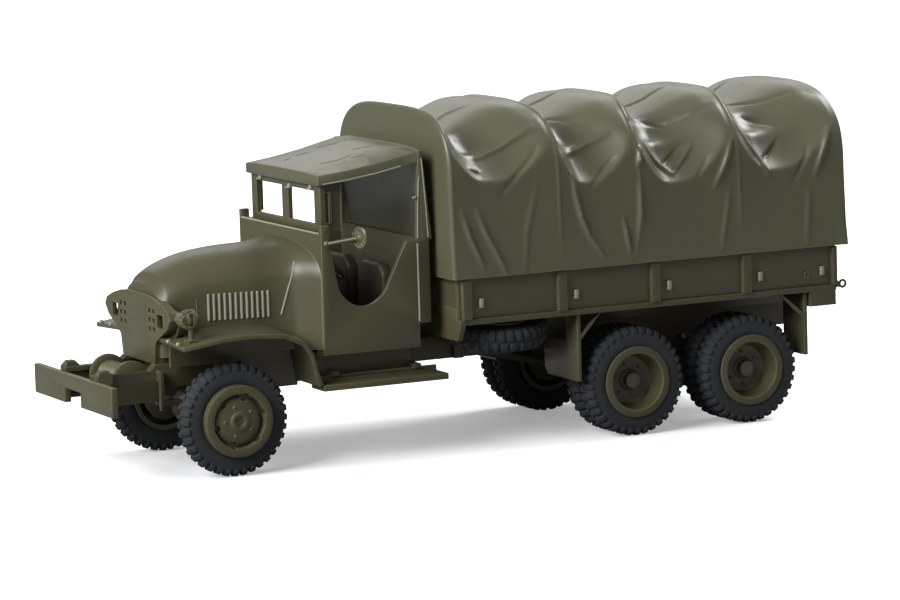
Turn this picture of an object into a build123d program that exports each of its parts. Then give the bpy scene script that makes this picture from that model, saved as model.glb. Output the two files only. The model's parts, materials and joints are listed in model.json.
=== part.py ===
from build123d import *
import math
import os

# Small plastic scale model of a six-wheeled military cargo truck with a covered bed.
# Millimetres. X points forward and is measured from the front axle, Y points left,
# Z points up from the floor. The finished nodes are moved so that X is zero halfway
# between the bumper and the rearmost edge.

os.makedirs("parts", exist_ok=True)

# Wheels
WHEELBASE = 41.2
BOGIE_PITCH = 12.7
TYRE_R = 5.3
TYRE_W = 2.3
LUG_DEPTH = 0.5
LUG_COUNT = 14
LUG_TOP_SHARE = 0.5
LUG_FOOT_SHARE = 0.66
BORE_SIDES = 10
RIM_SIDES = 14
BEAD_R = 3.05
BEAD_GAP = 0.03
RIM_R = 3.4
RIM_OPENING_R = 2.7
BOWL_R = 2.45
RIM_FLANGE_T = 0.2
FRONT_RIM_PROUD = 0.7
FRONT_TYRE_Y = 8.77
OUTER_TYRE_Y = 10.75
DUAL_PITCH = 2.8
DISC_T = 0.5
REAR_DISH = 2.0
FRONT_DISH = 0.75
SPARE_DISH = 1.2
HUB_R = 1.0
HUB_CAP_R = 0.7
REAR_HUB_OUT = 1.2
SPARE_HUB_OUT = 0.4
DOME_R = 2.35
DOME_EDGE = 0.3
DOME_H = 0.62
DOME_TOP_R = 1.2
FRONT_HUB_OUT = 0.85
HUB_HOLLOW_R = 0.5
HUB_HOLLOW = 0.2
NOTCH_COUNT = 6
NOTCH_SIDES = 6
NOTCH_R = 0.32
NOTCH_CIRCLE_R = 2.2

# Axles
STUB_R = 0.5
STUB_GAP = 0.05
STUB_END_GAP = 0.2
STUB_CAP_T = 0.3
AXLE_TUBE_R = 0.75
TUBE_SIDES = 8
DRUM_R = 2.1
DRUM_GAP = 0.3
DIFF_R = 1.7
DIFF_W = 1.2
DIFF_TAPER = 1.0
FRONT_DIFF_Y = -1.2

# Frame
RAIL_OUT_Y = 4.2
RAIL_WEB = 0.5
RAIL_FLANGE = 1.0
FLANGE_T = 0.4
RAIL_Z0 = 8.2
RAIL_Z1 = 10.4
NOSE_Z0 = 6.9
NOSE_Z1 = 9.8
NOSE_SLOPE = 2.2
CROSS_T = 0.6
SPRING_W = 0.8
SPRING_HALF = 5.5
SPRING_T = 0.75
HANGER_X = 5.35
HANGER_Y = 5.0
HANGER_W = 0.4
HANGER_Z0 = 6.1
SHAFT_R = 0.42
SHAFT_GAP = 0.25

# Engine and transfer case
ENGINE_HALF = 2.8
ENGINE_Z0 = 8.8
SUMP_Z0 = 7.1
SUMP_FRONT_X = -2.4
GEARBOX_L = 5.0
GEARBOX_HALF = 1.4
GEARBOX_Z1 = 10.2
CASE_X = -25.5
CASE_HALF = 1.9
CASE_WIDTH = 3.8
CASE_Z0 = 8.0

# Bumper, tow hooks and winch
BUMPER_FACE_X = 12.39
BUMPER_T = 0.65
BUMPER_HALF = 9.94
BUMPER_Z0 = 6.67
BUMPER_Z1 = 9.46
BUMPER_NOTCH_HALF = 2.0
BUMPER_NOTCH_H = 1.4
HOOK_R = 0.85
HOOK_W = 0.8
WINCH_X = 7.6
WINCH_Z = 8.9
WINCH_R = 1.9
WINCH_DRUM_R = 1.0
WINCH_FLANGE_T = 0.5
WINCH_SHAFT_R = 0.55

# Nose, hood and fenders
GUARD_X = 5.6
GUARD_T = 0.5
GUARD_DEPTH = 0.9
RADIATOR_X = 3.9
LAMP_R = 1.3
LAMP_Y = 6.25
LAMP_Z = 14.3
LAMP_L = 1.5
CAGE_X = 3.4
CAGE_Y = 9.5
CAGE_Z = 15.1
CAGE_R = 0.95
CAGE_L = 1.9
HOOD_Z0 = 13.0
SHOULDER_POWER = 2.3
SHOULDER_STEPS = 4
SEAM_X = -7.68
SEAM_Z = 19.1
SEAM_LEAN = 0.317
LOUVRE_COUNT = 12
LOUVRE_PITCH = 0.513
LOUVRE_W = 0.28
LOUVRE_X = 0.5
LOUVRE_Z0 = 14.15
LOUVRE_Z1 = 16.6
LOUVRE_PROUD = 0.12
FENDER_OUT_Y = 10.92
FENDER_IN_Y = 5.0
FENDER_T = 0.45
APRON_T = 0.4
BOARD_Z0 = 7.3
BOARD_T = 0.6
BOARD_IN_Y = 8.0
BOARD_FRONT_X = -8.5
BOARD_REAR_X = -21.5

# Cab
CAB_FRONT_X = -9.3
CAB_REAR_X = -20.5
CAB_HALF = 9.6
CAB_T = 0.5
CAB_Z0 = 10.41
CAB_Z1 = 20.6
CAB_TAIL_Z = 12.7
CAB_STEP_X = -19.3
FIREWALL_T = 0.7
SCUTTLE_Z1 = 21.9
PILLAR_W = 0.9
PILLAR_Z1 = 22.7
SCREEN_T = 0.45
SCREEN_EDGE = 1.6
SCREEN_SIDE = 1.3
SCREEN_BAR = 1.5
SCREEN_SILL = 0.7
SCREEN_HEAD = 1.1
SCREEN_TOP = 26.8
VENT_W = 0.6
VENT_BAR = 0.15
ROOF_FRONT_X = -9.7
ROOF_T = 0.4
ROOF_LIP = 0.95
VALANCE_T = 0.3
CURTAIN_T = 0.35
CURTAIN_LEAN = 0.8
SEAT_H = 2.6
SEAT_BACK_H = 7.4
STEERING_R = 2.1
MIRROR_R = 1.05
MIRROR_REACH = 2.4

# Bed and cover
BED_FRONT_X = -22.0
BED_LENGTH = 41.5
BED_HALF = 12.63
BED_Z0 = 12.43
SILL_H = 0.55
SILL_PROUD = 0.2
BED_FLOOR_Z = 13.6
BED_FLOOR_T = 0.4
BEARER_W = 0.9
BEARER_COUNT = 5
BOARD_TOP_Z = 17.4
SIDE_T = 0.35
POST_PROUD = 0.43
POST_W = 0.9
POST_PITCH = 10.15
POST_COUNT = 5
POST_INSET = 0.4
CLEAT_W = 0.45
CLEAT_PROUD = 0.35
CLEAT_Z0 = 14.0
CLEAT_Z1 = 14.9
BRACKET_Z0 = 10.95
TARP_FRONT_X = -21.35
TARP_LENGTH = 43.35
TARP_OVER = 0.25
TARP_Z0 = 16.9
TARP_TOP = 32.95
TARP_T = 0.4
TAIL_RING_R = 0.48
TAIL_RING_HOLE_R = 0.2
TAIL_RING_T = 0.5
TAIL_RING_Z = 12.9
TAIL_RING_IN = 0.83

# Underbody
SPARE_TILT = 10.3
SPARE_X = -28.2
SPARE_OUT_Y = 12.15
SPARE_OUT_Z = 10.35
SPLASH_T = 0.4
SPLASH_GAP = 0.75
SPLASH_Z0 = 6.2
TANK_FRONT_X = -23.2
TANK_LENGTH = 7.4
TANK_OUT_Y = 10.6
TANK_IN_Y = 5.2
TANK_Z0 = 6.9
TANK_Z1 = 11.2
TANK_EDGE = 0.9
LAMP_BOX_W = 1.8
LAMP_BOX_H = 1.2
SILENCER_X = -14.6
SILENCER_Y = 6.2
SILENCER_Z = 9.3
SILENCER_R = 0.95
SILENCER_L = 5.4
TAILPIPE_R = 0.35
TAILPIPE_L = 4.1
PINTLE_R = 0.75
PINTLE_BORE_R = 0.35
PINTLE_H = 0.7
PINTLE_Z = 9.3

MIDDLE_X = -WHEELBASE
REAR_X = -WHEELBASE - BOGIE_PITCH
BOGIE_X = (MIDDLE_X + REAR_X) / 2
AXLE_Z = TYRE_R
BED_REAR_X = BED_FRONT_X - BED_LENGTH
TARP_HALF = BED_HALF + TARP_OVER
TAIL_RING_Y = BED_HALF - TAIL_RING_IN
TARP_REAR_X = TARP_FRONT_X - TARP_LENGTH
BUMPER_BACK_X = BUMPER_FACE_X - BUMPER_T
TAIL_RING_X = BED_REAR_X - 2.2 * TAIL_RING_R
MID_X = (BUMPER_FACE_X + min(TAIL_RING_X - TAIL_RING_R, TARP_REAR_X)) / 2

nodes = {}


def block(x0, x1, y0, y1, z0, z1):
    """Box between two corners."""
    size = (abs(x1 - x0), abs(y1 - y0), abs(z1 - z0))
    return Pos((x0 + x1) / 2, (y0 + y1) / 2, (z0 + z1) / 2) * Box(*size)


def outline_face(points, along, at):
    """Face across one axis. The points hold the other two axes in order."""
    place = {
        "x": lambda a, b: (at, a, b),
        "y": lambda a, b: (a, at, b),
        "z": lambda a, b: (a, b, at),
    }[along]
    return make_face(Polyline(*[place(a, b) for a, b in points], close=True))


def plate(points, along, start, end):
    """Flat outline pushed along one axis."""
    way = {"x": (1, 0, 0), "y": (0, 1, 0), "z": (0, 0, 1)}[along]
    return extrude(outline_face(points, along, start), amount=end - start, dir=way)


def two_sided(half):
    """Closed outline from its half as (Y, Z) pairs, mirrored across the truck."""
    return half + [(-y, z) for y, z in reversed(half) if y]


def inset(points, depths):
    """Moves each edge of a closed anticlockwise outline inward by its own depth, still parallel."""
    lines = []
    for (a, b), (c, d), depth in zip(points, points[1:] + points[:1], depths):
        run = math.hypot(c - a, d - b)
        lines.append((a - (d - b) / run * depth, b + (c - a) / run * depth, (c - a) / run, (d - b) / run))
    moved = []
    for (a, b, u, v), (c, d, s, t) in zip(lines[-1:] + lines[:-1], lines):
        share = ((c - a) * t - (d - b) * s) / (u * t - v * s)
        moved.append((a + share * u, b + share * v))
    return moved


def both(*shapes):
    """Each shape and its mirror image on the other side of the truck."""
    return [side for shape in shapes for side in (shape, mirror(shape, Plane.XZ))]


def largest(shape):
    """The main solid of a cut shape."""
    return max(shape.solids(), key=lambda solid: solid.volume)


def prism_z(sides, radius, z0, z1):
    """Regular prism about the local axis of a wheel; the radius is to its flats."""
    outline = RegularPolygon(radius, sides, major_radius=False, rotation=180 / sides)
    return Pos(0, 0, min(z0, z1)) * extrude(outline, amount=abs(z1 - z0))


def taper_z(sides, radius0, radius1, z0, z1):
    """Regular frustum about the local axis of a wheel; the radii are to its flats."""
    half_turn = math.pi / sides
    rings = []
    for radius, z in sorted(((radius0, z0), (radius1, z1)), key=lambda end: end[1]):
        corner = radius / math.cos(half_turn)
        turns = [half_turn * (2 * step + 1) for step in range(sides)]
        rings.append([(corner * math.cos(turn), corner * math.sin(turn), z) for turn in turns])
    low, high = rings
    flats = zip(low, low[1:] + low[:1], high[1:] + high[:1], high)
    faces = [make_face(Polyline(*points, close=True)).face() for points in (low, high, *flats)]
    return Solid(Shell(faces))


def bar(start, end, radius):
    """Eight-sided bar between two points; the radius is to its flats."""
    line = Vector(*end) - Vector(*start)
    return Plane(origin=start, z_dir=line) * prism_z(TUBE_SIDES, radius, 0, line.length)


def prism_y(sides, radius, y0, y1, x, z):
    """Regular prism across the truck; the radius is to its flats."""
    return Pos(x, min(y0, y1), z) * Rot(-90, 0, 0) * prism_z(sides, radius, 0, abs(y1 - y0))


def lug_row(z0, z1, phase):
    """One row of tread lugs with the casing under it, as a toothed prism."""
    pitch = 2 * math.pi / LUG_COUNT
    top = pitch * LUG_TOP_SHARE / 2
    foot = pitch * LUG_FOOT_SHARE / 2
    top_r = TYRE_R / math.cos(top)
    foot_r = (TYRE_R - LUG_DEPTH) / math.cos(foot)
    points = []
    for lug in range(LUG_COUNT):
        middle = math.pi / 2 + pitch * (lug + phase)
        for radius, turn in ((foot_r, -foot), (top_r, -top), (top_r, top), (foot_r, foot)):
            points.append((radius * math.cos(middle + turn), radius * math.sin(middle + turn)))
    return plate(points, "z", z0, z1)


def tyre(middle):
    """Tyre about the local Z axis, its middle plane at the given height."""
    rows = lug_row(middle, middle + TYRE_W / 2, 0) + lug_row(middle - TYRE_W / 2, middle, 0.5)
    return rows - prism_z(BORE_SIDES, BEAD_R, middle - TYRE_W, middle + TYRE_W)


def rim(inner_face, outer_face, proud, dish, hub_out):
    """Wheel centre: barrel through the tyres, flange rings, bowl with its hub, and the axle bore."""
    ring_top = outer_face + proud
    bowl_z = ring_top - dish
    body = prism_z(BORE_SIDES, BEAD_R - BEAD_GAP, inner_face, outer_face)
    body += prism_z(RIM_SIDES, RIM_R, outer_face, ring_top)
    body += prism_z(BORE_SIDES, RIM_R - RIM_FLANGE_T, inner_face - RIM_FLANGE_T, inner_face)
    body -= prism_z(BORE_SIDES, DRUM_R + DRUM_GAP, inner_face - TYRE_W, bowl_z - DISC_T)
    body -= taper_z(RIM_SIDES, BOWL_R, RIM_OPENING_R, bowl_z, ring_top)
    body += prism_z(TUBE_SIDES, HUB_R, bowl_z - DISC_T, bowl_z + hub_out / 2)
    body += prism_z(TUBE_SIDES, HUB_CAP_R, bowl_z, bowl_z + hub_out)
    bore_top = bowl_z + hub_out - STUB_CAP_T
    bore = Pos(0, 0, bore_top) * Cylinder(
        STUB_R + STUB_GAP, bore_top - inner_face + TYRE_W, align=(Align.CENTER, Align.CENTER, Align.MAX))
    return body - bore


def front_disc(floor_z):
    """Domed disc in the front wheel's bowl, with round notches in its edge and a hollow hub cap."""
    disc = prism_z(RIM_SIDES, DOME_R, floor_z, floor_z + DOME_EDGE)
    disc += taper_z(RIM_SIDES, DOME_R, DOME_TOP_R, floor_z + DOME_EDGE, floor_z + DOME_H)
    for place in PolarLocations(NOTCH_CIRCLE_R, NOTCH_COUNT):
        disc -= place * prism_z(NOTCH_SIDES, NOTCH_R, floor_z, floor_z + DOME_H)
    disc += prism_z(TUBE_SIDES, HUB_CAP_R, floor_z, floor_z + FRONT_HUB_OUT)
    hollow_z = floor_z + FRONT_HUB_OUT - HUB_HOLLOW
    return disc - prism_z(TUBE_SIDES, HUB_HOLLOW_R, hollow_z, hollow_z + HUB_HOLLOW)


def placed(shape, x, side):
    """Turns a wheel piece from its local axis to the truck's left (1) or right (-1) side."""
    return Pos(x, 0, AXLE_Z) * Rot(-90 * side, 0, 0) * shape


# Wheels: name, axle X, tyre middles from the truck's centre plane, ring stand-out, dish, hub
inner_tyre_y = OUTER_TYRE_Y - DUAL_PITCH
half_w = TYRE_W / 2
front_outer = FRONT_TYRE_Y + half_w
rear_outer = OUTER_TYRE_Y + half_w
front_floor = front_outer + FRONT_RIM_PROUD - FRONT_DISH
rear_floor = rear_outer + RIM_FLANGE_T - REAR_DISH
front_bore_out = DOME_H
wheel_table = (
    ("front", 0.0, (FRONT_TYRE_Y,), FRONT_RIM_PROUD, FRONT_DISH, front_bore_out),
    ("middle", MIDDLE_X, (OUTER_TYRE_Y, inner_tyre_y), RIM_FLANGE_T, REAR_DISH, REAR_HUB_OUT),
    ("rear", REAR_X, (OUTER_TYRE_Y, inner_tyre_y), RIM_FLANGE_T, REAR_DISH, REAR_HUB_OUT),
)
for name, axle_x, middles, proud, dish, hub_out in wheel_table:
    wheel_rim = rim(min(middles) - half_w, max(middles) + half_w, proud, dish, hub_out)
    if name == "front":
        stub_room = Pos(0, 0, front_floor) * Cylinder(STUB_R + STUB_GAP, 2 * (front_bore_out - STUB_CAP_T))
        wheel_rim += front_disc(front_floor) - stub_room
    tyres = [tyre(middle) for middle in middles]
    for word, side in (("left", 1), ("right", -1)):
        nodes[f"{name}_rim_{word}"] = [placed(wheel_rim, axle_x, side)]
        nodes[f"{name}_tyre_{word}"] = [placed(each, axle_x, side) for each in tyres]


def axle(x, inner_face, disc_in, hub_end, diff_y):
    """Fixed axle: tube with its differential bowl, brake drums and wheel stubs."""
    drum_out = disc_in - DRUM_GAP
    shape = prism_z(TUBE_SIDES, AXLE_TUBE_R, -drum_out, drum_out)
    shape += prism_z(BORE_SIDES, DIFF_R, diff_y - DIFF_W / 2, diff_y + DIFF_W / 2)
    for side in (1, -1):
        bowl_y = diff_y + side * DIFF_W / 2
        shape += taper_z(BORE_SIDES, DIFF_R, AXLE_TUBE_R, bowl_y, bowl_y + side * DIFF_TAPER)
        shape += prism_z(BORE_SIDES, DRUM_R, side * (inner_face - RIM_FLANGE_T), side * drum_out)
        stub_middle = side * (drum_out + hub_end) / 2
        shape += Pos(0, 0, stub_middle) * Cylinder(STUB_R, hub_end - drum_out)
    return placed(shape, x, 1)


front_disc_in = front_floor - DISC_T
rear_disc_in = rear_floor - DISC_T
front_hub_end = front_floor + front_bore_out - STUB_CAP_T - STUB_END_GAP
rear_hub_end = rear_floor + REAR_HUB_OUT - STUB_CAP_T - STUB_END_GAP
nodes["front_axle"] = [axle(0, FRONT_TYRE_Y - half_w, front_disc_in, front_hub_end, FRONT_DIFF_Y)]
nodes["middle_axle"] = [axle(MIDDLE_X, inner_tyre_y - half_w, rear_disc_in, rear_hub_end, 0)]
nodes["rear_axle"] = [axle(REAR_X, inner_tyre_y - half_w, rear_disc_in, rear_hub_end, 0)]

# Frame: two channel rails, lower ahead of the radiator, with cross plates and spring hangers
rail_in = RAIL_OUT_Y - RAIL_WEB
flange_in = RAIL_OUT_Y - RAIL_FLANGE
frame_rear_x = BED_REAR_X


def rail_outline(edge):
    """Side view of a rail as (X, Z), with its upper and lower edges moved in."""
    lower = ((frame_rear_x, RAIL_Z0), (GUARD_X - NOSE_SLOPE, RAIL_Z0), (GUARD_X, NOSE_Z0),
             (BUMPER_BACK_X, NOSE_Z0))
    upper = ((BUMPER_BACK_X, NOSE_Z1), (GUARD_X + RAIL_Z1 - NOSE_Z1, NOSE_Z1), (GUARD_X, RAIL_Z1),
             (frame_rear_x, RAIL_Z1))
    return [(x, z + edge) for x, z in lower] + [(x, z - edge) for x, z in upper]


channel = plate(rail_outline(0), "y", flange_in, RAIL_OUT_Y)
channel -= plate(rail_outline(FLANGE_T), "y", flange_in, rail_in)
hook_y = RAIL_OUT_Y - HOOK_W / 2
hook_x = BUMPER_BACK_X - HOOK_R
channel += prism_y(TUBE_SIDES, HOOK_R, hook_y, hook_y + HOOK_W, hook_x, BUMPER_Z1)
channel += block(HANGER_X - HANGER_W / 2, HANGER_X + HANGER_W / 2, RAIL_OUT_Y, HANGER_Y, NOSE_Z1 - 1, NOSE_Z1)
channel += block(HANGER_X - HANGER_W / 2, HANGER_X + HANGER_W / 2, HANGER_Y - HANGER_W, HANGER_Y,
                 HANGER_Z0, NOSE_Z1)
frame = channel + mirror(channel, Plane.XZ)
engine_rear_x = SEAM_X + 0.3
gearbox_end = engine_rear_x - GEARBOX_L
cross_xs = (gearbox_end - 1, BED_FRONT_X, BOGIE_X + BOGIE_PITCH, BOGIE_X, (REAR_X + frame_rear_x) / 2,
            frame_rear_x + CROSS_T)
for x in cross_xs:
    frame += block(x - CROSS_T, x, -rail_in, rail_in, RAIL_Z0 + FLANGE_T / 2, RAIL_Z1 - FLANGE_T / 2)

# Springs: half of each leaf pack as (X, Z) from its middle, lower edge first
spring_y1 = RAIL_OUT_Y - 0.1
spring_y0 = spring_y1 - SPRING_W
axle_top = AXLE_Z + AXLE_TUBE_R
leaf_end = 0.35
leaf_middle = 2.0
front_leaf = plate(
    ((-SPRING_HALF, RAIL_Z0 - leaf_end), (-leaf_middle, axle_top), (leaf_middle, axle_top),
     (SPRING_HALF, NOSE_Z0 - leaf_end), (SPRING_HALF, NOSE_Z0), (leaf_middle, axle_top + SPRING_T),
     (-leaf_middle, axle_top + SPRING_T), (-SPRING_HALF, RAIL_Z0)), "y", spring_y0, spring_y1)
nodes["front_springs"] = both(front_leaf)
half_bogie = BOGIE_PITCH / 2
seat = 0.9
bogie_leaf = plate(
    ((-half_bogie - seat, axle_top), (-half_bogie + seat, axle_top), (-leaf_middle, RAIL_Z0 - 1.3),
     (leaf_middle, RAIL_Z0 - 1.3), (half_bogie - seat, axle_top), (half_bogie + seat, axle_top),
     (half_bogie, axle_top + SPRING_T), (leaf_middle, RAIL_Z0), (-leaf_middle, RAIL_Z0),
     (-half_bogie, axle_top + SPRING_T)), "y", spring_y0, spring_y1)
nodes["bogie_springs"] = both(Pos(BOGIE_X, 0, 0) * bogie_leaf)

# Engine, gearbox and shafts between the rails
engine = block(engine_rear_x, RADIATOR_X, -ENGINE_HALF, ENGINE_HALF, ENGINE_Z0, HOOD_Z0)
engine += block(engine_rear_x, SUMP_FRONT_X, -GEARBOX_HALF, GEARBOX_HALF, SUMP_Z0, ENGINE_Z0)
engine += block(gearbox_end, engine_rear_x, -GEARBOX_HALF, GEARBOX_HALF, ENGINE_Z0, GEARBOX_Z1)
nodes["engine_block"] = [engine]
case_z1 = RAIL_Z1 - FLANGE_T
case_half_y = CASE_WIDTH / 2
transfer = block(CASE_X - CASE_HALF, CASE_X + CASE_HALF, -case_half_y, case_half_y, CASE_Z0, case_z1)
transfer += block(CASE_X - 0.5, CASE_X + 0.5, -rail_in, rail_in, case_z1 - 1, case_z1)
nodes["transfer_case"] = [transfer]
case_shaft_z = CASE_Z0 + 0.6
main_shaft = ((gearbox_end, 0, PINTLE_Z), (CASE_X + CASE_HALF, 0, case_shaft_z + SHAFT_GAP))
diff_reach = DIFF_R * 0.9
diff_z = AXLE_Z + SHAFT_R
shaft_table = (
    main_shaft,
    ((CASE_X + CASE_HALF, FRONT_DIFF_Y, case_shaft_z), (-diff_reach, FRONT_DIFF_Y, diff_z)),
    ((CASE_X - CASE_HALF, 0, case_shaft_z), (MIDDLE_X + diff_reach, 0, diff_z)),
    ((MIDDLE_X - diff_reach, 0, diff_z), (REAR_X + diff_reach, 0, diff_z)),
)
obstacles = engine + transfer
for word in ("front", "middle", "rear"):
    obstacles += nodes[f"{word}_axle"][0]
nodes["drive_shafts"] = [largest(bar(start, end, SHAFT_R) - obstacles) for start, end in shaft_table]
for start, end in shaft_table:
    frame -= bar(start, end, SHAFT_R + SHAFT_GAP)
nodes["chassis_frame"] = [largest(frame)]

# Bumper with its notched lower edge
bumper_half = [(BUMPER_NOTCH_HALF, BUMPER_Z0 + BUMPER_NOTCH_H), (BUMPER_NOTCH_HALF, BUMPER_Z0),
               (BUMPER_HALF, BUMPER_Z0), (BUMPER_HALF, BUMPER_Z1)]
nodes["bumper"] = [plate(two_sided(bumper_half), "x", BUMPER_BACK_X, BUMPER_FACE_X)]

# Winch between the rails: shaft, rope drum and its end flanges
drum_half = flange_in - 0.05
winch = prism_y(TUBE_SIDES, WINCH_SHAFT_R, -rail_in, rail_in, WINCH_X, WINCH_Z)
winch += prism_y(BORE_SIDES, WINCH_DRUM_R, -drum_half, drum_half, WINCH_X, WINCH_Z)
for side in (1, -1):
    winch += prism_y(RIM_SIDES, WINCH_R, side * (drum_half - WINCH_FLANGE_T), side * drum_half, WINCH_X, WINCH_Z)
nodes["winch"] = [winch]

# Hood and cowl as one skin: X, half width, side top Z, crown Z
nose_table = (
    (GUARD_X - GUARD_T, 4.6, 14.9, 17.7),
    (4.3, 4.75, 15.4, 18.7),
    (2.6, 5.0, 16.1, 19.4),
    (0.2, 5.35, 16.7, 20.1),
    (-3.0, 6.0, 17.1, 20.45),
    (-7.4, 6.8, 17.4, 20.55),
    (CAB_FRONT_X, CAB_HALF - 0.2, 17.5, 20.9),
)


def nose_face(x, half, side_top, crown):
    """Section across the hood: straight sides and a rounded top."""
    points = [(half, HOOD_Z0), (half, side_top)]
    for step in range(1, SHOULDER_STEPS):
        turn = math.pi / 2 * step / SHOULDER_STEPS
        points.append((half * math.cos(turn) ** (2 / SHOULDER_POWER),
                       side_top + (crown - side_top) * math.sin(turn) ** (2 / SHOULDER_POWER)))
    points.append((0, crown))
    return outline_face(two_sided(points), "x", x)


def nose_half(x):
    """Half width of the hood's sides at one X."""
    for (x0, half0, *_), (x1, half1, *_) in zip(nose_table, nose_table[1:]):
        if x1 <= x <= x0:
            return half0 + (half1 - half0) * (x0 - x) / (x0 - x1)
    return nose_table[-1][1]


nose = loft([nose_face(*row) for row in nose_table], ruled=True)
seam = Plane(origin=(SEAM_X, 0, SEAM_Z), z_dir=(1, 0, SEAM_LEAN))
hood = split(nose, bisect_by=seam, keep=Keep.TOP)
for louvre in range(LOUVRE_COUNT):
    x = LOUVRE_X - louvre * LOUVRE_PITCH
    reach = nose_half(x)
    rib = block(x - LOUVRE_W / 2, x + LOUVRE_W / 2, reach - 0.5, reach + LOUVRE_PROUD, LOUVRE_Z0, LOUVRE_Z1)
    hood += rib + mirror(rib, Plane.XZ)
nodes["hood"] = [hood]
cowl = split(nose, bisect_by=seam, keep=Keep.BOTTOM)
firewall_half = CAB_HALF - 2 * ROOF_T
cowl += block(CAB_FRONT_X, CAB_FRONT_X + FIREWALL_T, -firewall_half, firewall_half, CAB_Z0, HOOD_Z0)
nodes["cowl"] = [cowl]

# Radiator below the hood's nose, standing on the rails
radiator_half = RAIL_OUT_Y - 0.3
nodes["radiator"] = [block(RADIATOR_X, GUARD_X - GUARD_T, -radiator_half, radiator_half, RAIL_Z1, HOOD_Z0)]

# Upper edge of the fender sheet as (X, Z), beside the hood and at its outer edge
board_top = BOARD_Z0 + BOARD_T
fender_inner = [(5.52, 13.0), (1.4, 13.6), (-1.7, 13.75), (-4.7, 13.7), (-7.0, 13.0),
                (-7.9, 11.6), (-8.2, 9.8), (BOARD_FRONT_X, board_top)]
fender_outer = [(5.52, 12.7), (1.43, 13.28), (-1.66, 13.38), (-4.74, 13.1), (-6.79, 12.15),
                (-7.68, 10.92), (-8.04, 9.35), (BOARD_FRONT_X, board_top)]


def fender_face(points, y):
    """Bent strip at one Y: the upper edge, then the lower one a sheet's thickness inside."""
    lower = []
    for index, (x, z) in enumerate(points):
        before = points[max(index - 1, 0)]
        after = points[min(index + 1, len(points) - 1)]
        run = math.hypot(after[0] - before[0], after[1] - before[1])
        lower.append((x - (after[1] - before[1]) / run * FENDER_T, z + (after[0] - before[0]) / run * FENDER_T))
    return outline_face(points + lower[::-1], "y", y)


sheet = loft([fender_face(fender_inner, FENDER_IN_Y), fender_face(fender_outer, FENDER_OUT_Y)], ruled=True)
apron_line = [(4.6, 10.1), (4.6, 13.0), (-1.7, 13.4), (-6.6, 13.1), (-7.7, 11.4), (-8.3, BOARD_Z0),
              (-3.5, BOARD_Z0), (-2.5, 10.1)]
apron = plate(apron_line, "y", FENDER_IN_Y, FENDER_IN_Y + APRON_T)
fender = largest(sheet + apron - hood - cowl - nodes["radiator"][0])
nodes["fender_left"] = [fender]
nodes["fender_right"] = [mirror(fender, Plane.XZ)]

# Brush guard: half outline and wing outline as (Y, Z), then the openings of each side's lattice
guard_half = [(RAIL_OUT_Y - 0.3, RAIL_Z1), (4.3, 12.4), (5.5, 13.1), (7.3, 14.0), (8.1, 14.9), (7.6, 15.6),
              (6.2, 16.1), (4.1, 16.6), (2.5, 16.8)]
wing = [(5.0, 13.2), (5.5, 13.1), (7.3, 14.0), (8.1, 14.9), (7.6, 15.6), (6.2, 16.1), (5.0, 16.4)]
wing_wall = 0.3
guard = plate(two_sided(guard_half), "x", GUARD_X - GUARD_T, GUARD_X)
wing_room = inset(wing, [wing_wall] * (len(wing) - 1) + [-wing_wall])
wing_shell = plate(wing, "x", GUARD_X - GUARD_DEPTH, GUARD_X)
wing_shell -= plate(wing_room, "x", GUARD_X - GUARD_DEPTH, GUARD_X - GUARD_T)
guard += wing_shell + mirror(wing_shell, Plane.XZ)
lattice_z = (13.4, 14.25, 15.1)
lattice = [(y, y + 0.6, z, z + 0.5) for y in (2.75, 3.75) for z in lattice_z]
lattice += [(4.8, 6.3, 13.9, 15.2)]
for y0, y1, z0, z1 in lattice:
    opening = block(GUARD_X - 2 * GUARD_DEPTH, GUARD_X + 1, y0, y1, z0, z1)
    guard -= opening + mirror(opening, Plane.XZ)
guard -= Compound(children=both(fender)) + hood
nodes["brush_guard"] = [largest(guard)]

# Headlamps behind the guard and the caged lamp on the left fender
lamp_x = GUARD_X - GUARD_DEPTH - 0.1 - LAMP_L
lamp = Pos(lamp_x, LAMP_Y, LAMP_Z) * Rot(0, 90, 0) * taper_z(BORE_SIDES, LAMP_R / 2, LAMP_R, 0, LAMP_L)
lamp += block(lamp_x + 0.4, lamp_x + 1.0, LAMP_Y - 0.3, LAMP_Y + 0.3, HOOD_Z0 - 0.4, LAMP_Z)
nodes["headlamps"] = both(largest(lamp - fender - hood))
cage_shape = taper_z(BORE_SIDES, CAGE_R / 2, CAGE_R, 0, CAGE_L / 2)
cage_shape += prism_z(BORE_SIDES, CAGE_R, CAGE_L / 2, CAGE_L)
cage = Pos(CAGE_X, CAGE_Y, CAGE_Z) * Rot(0, 90, 0) * cage_shape
cage += block(CAGE_X + 0.8, CAGE_X + 1.4, CAGE_Y - 0.3, CAGE_Y + 0.3, HOOD_Z0 - 0.7, CAGE_Z)
nodes["caged_lamp"] = [largest(cage - fender)]

# Running boards on arms from the frame
board = block(BOARD_FRONT_X, BOARD_REAR_X, BOARD_IN_Y, FENDER_OUT_Y, BOARD_Z0, board_top)
board += block(BOARD_FRONT_X, BOARD_REAR_X, BOARD_IN_Y, BOARD_IN_Y + 0.3, board_top, board_top + 0.5)
arm_w = 0.8
arm_z = BOARD_Z0 + 0.9
for x in (BOARD_FRONT_X - 2, BOARD_REAR_X + 2.5):
    board += block(x, x - arm_w, RAIL_OUT_Y, BOARD_IN_Y + 0.5, arm_z, arm_z + 0.5)
nodes["running_boards"] = both(board)

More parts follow.
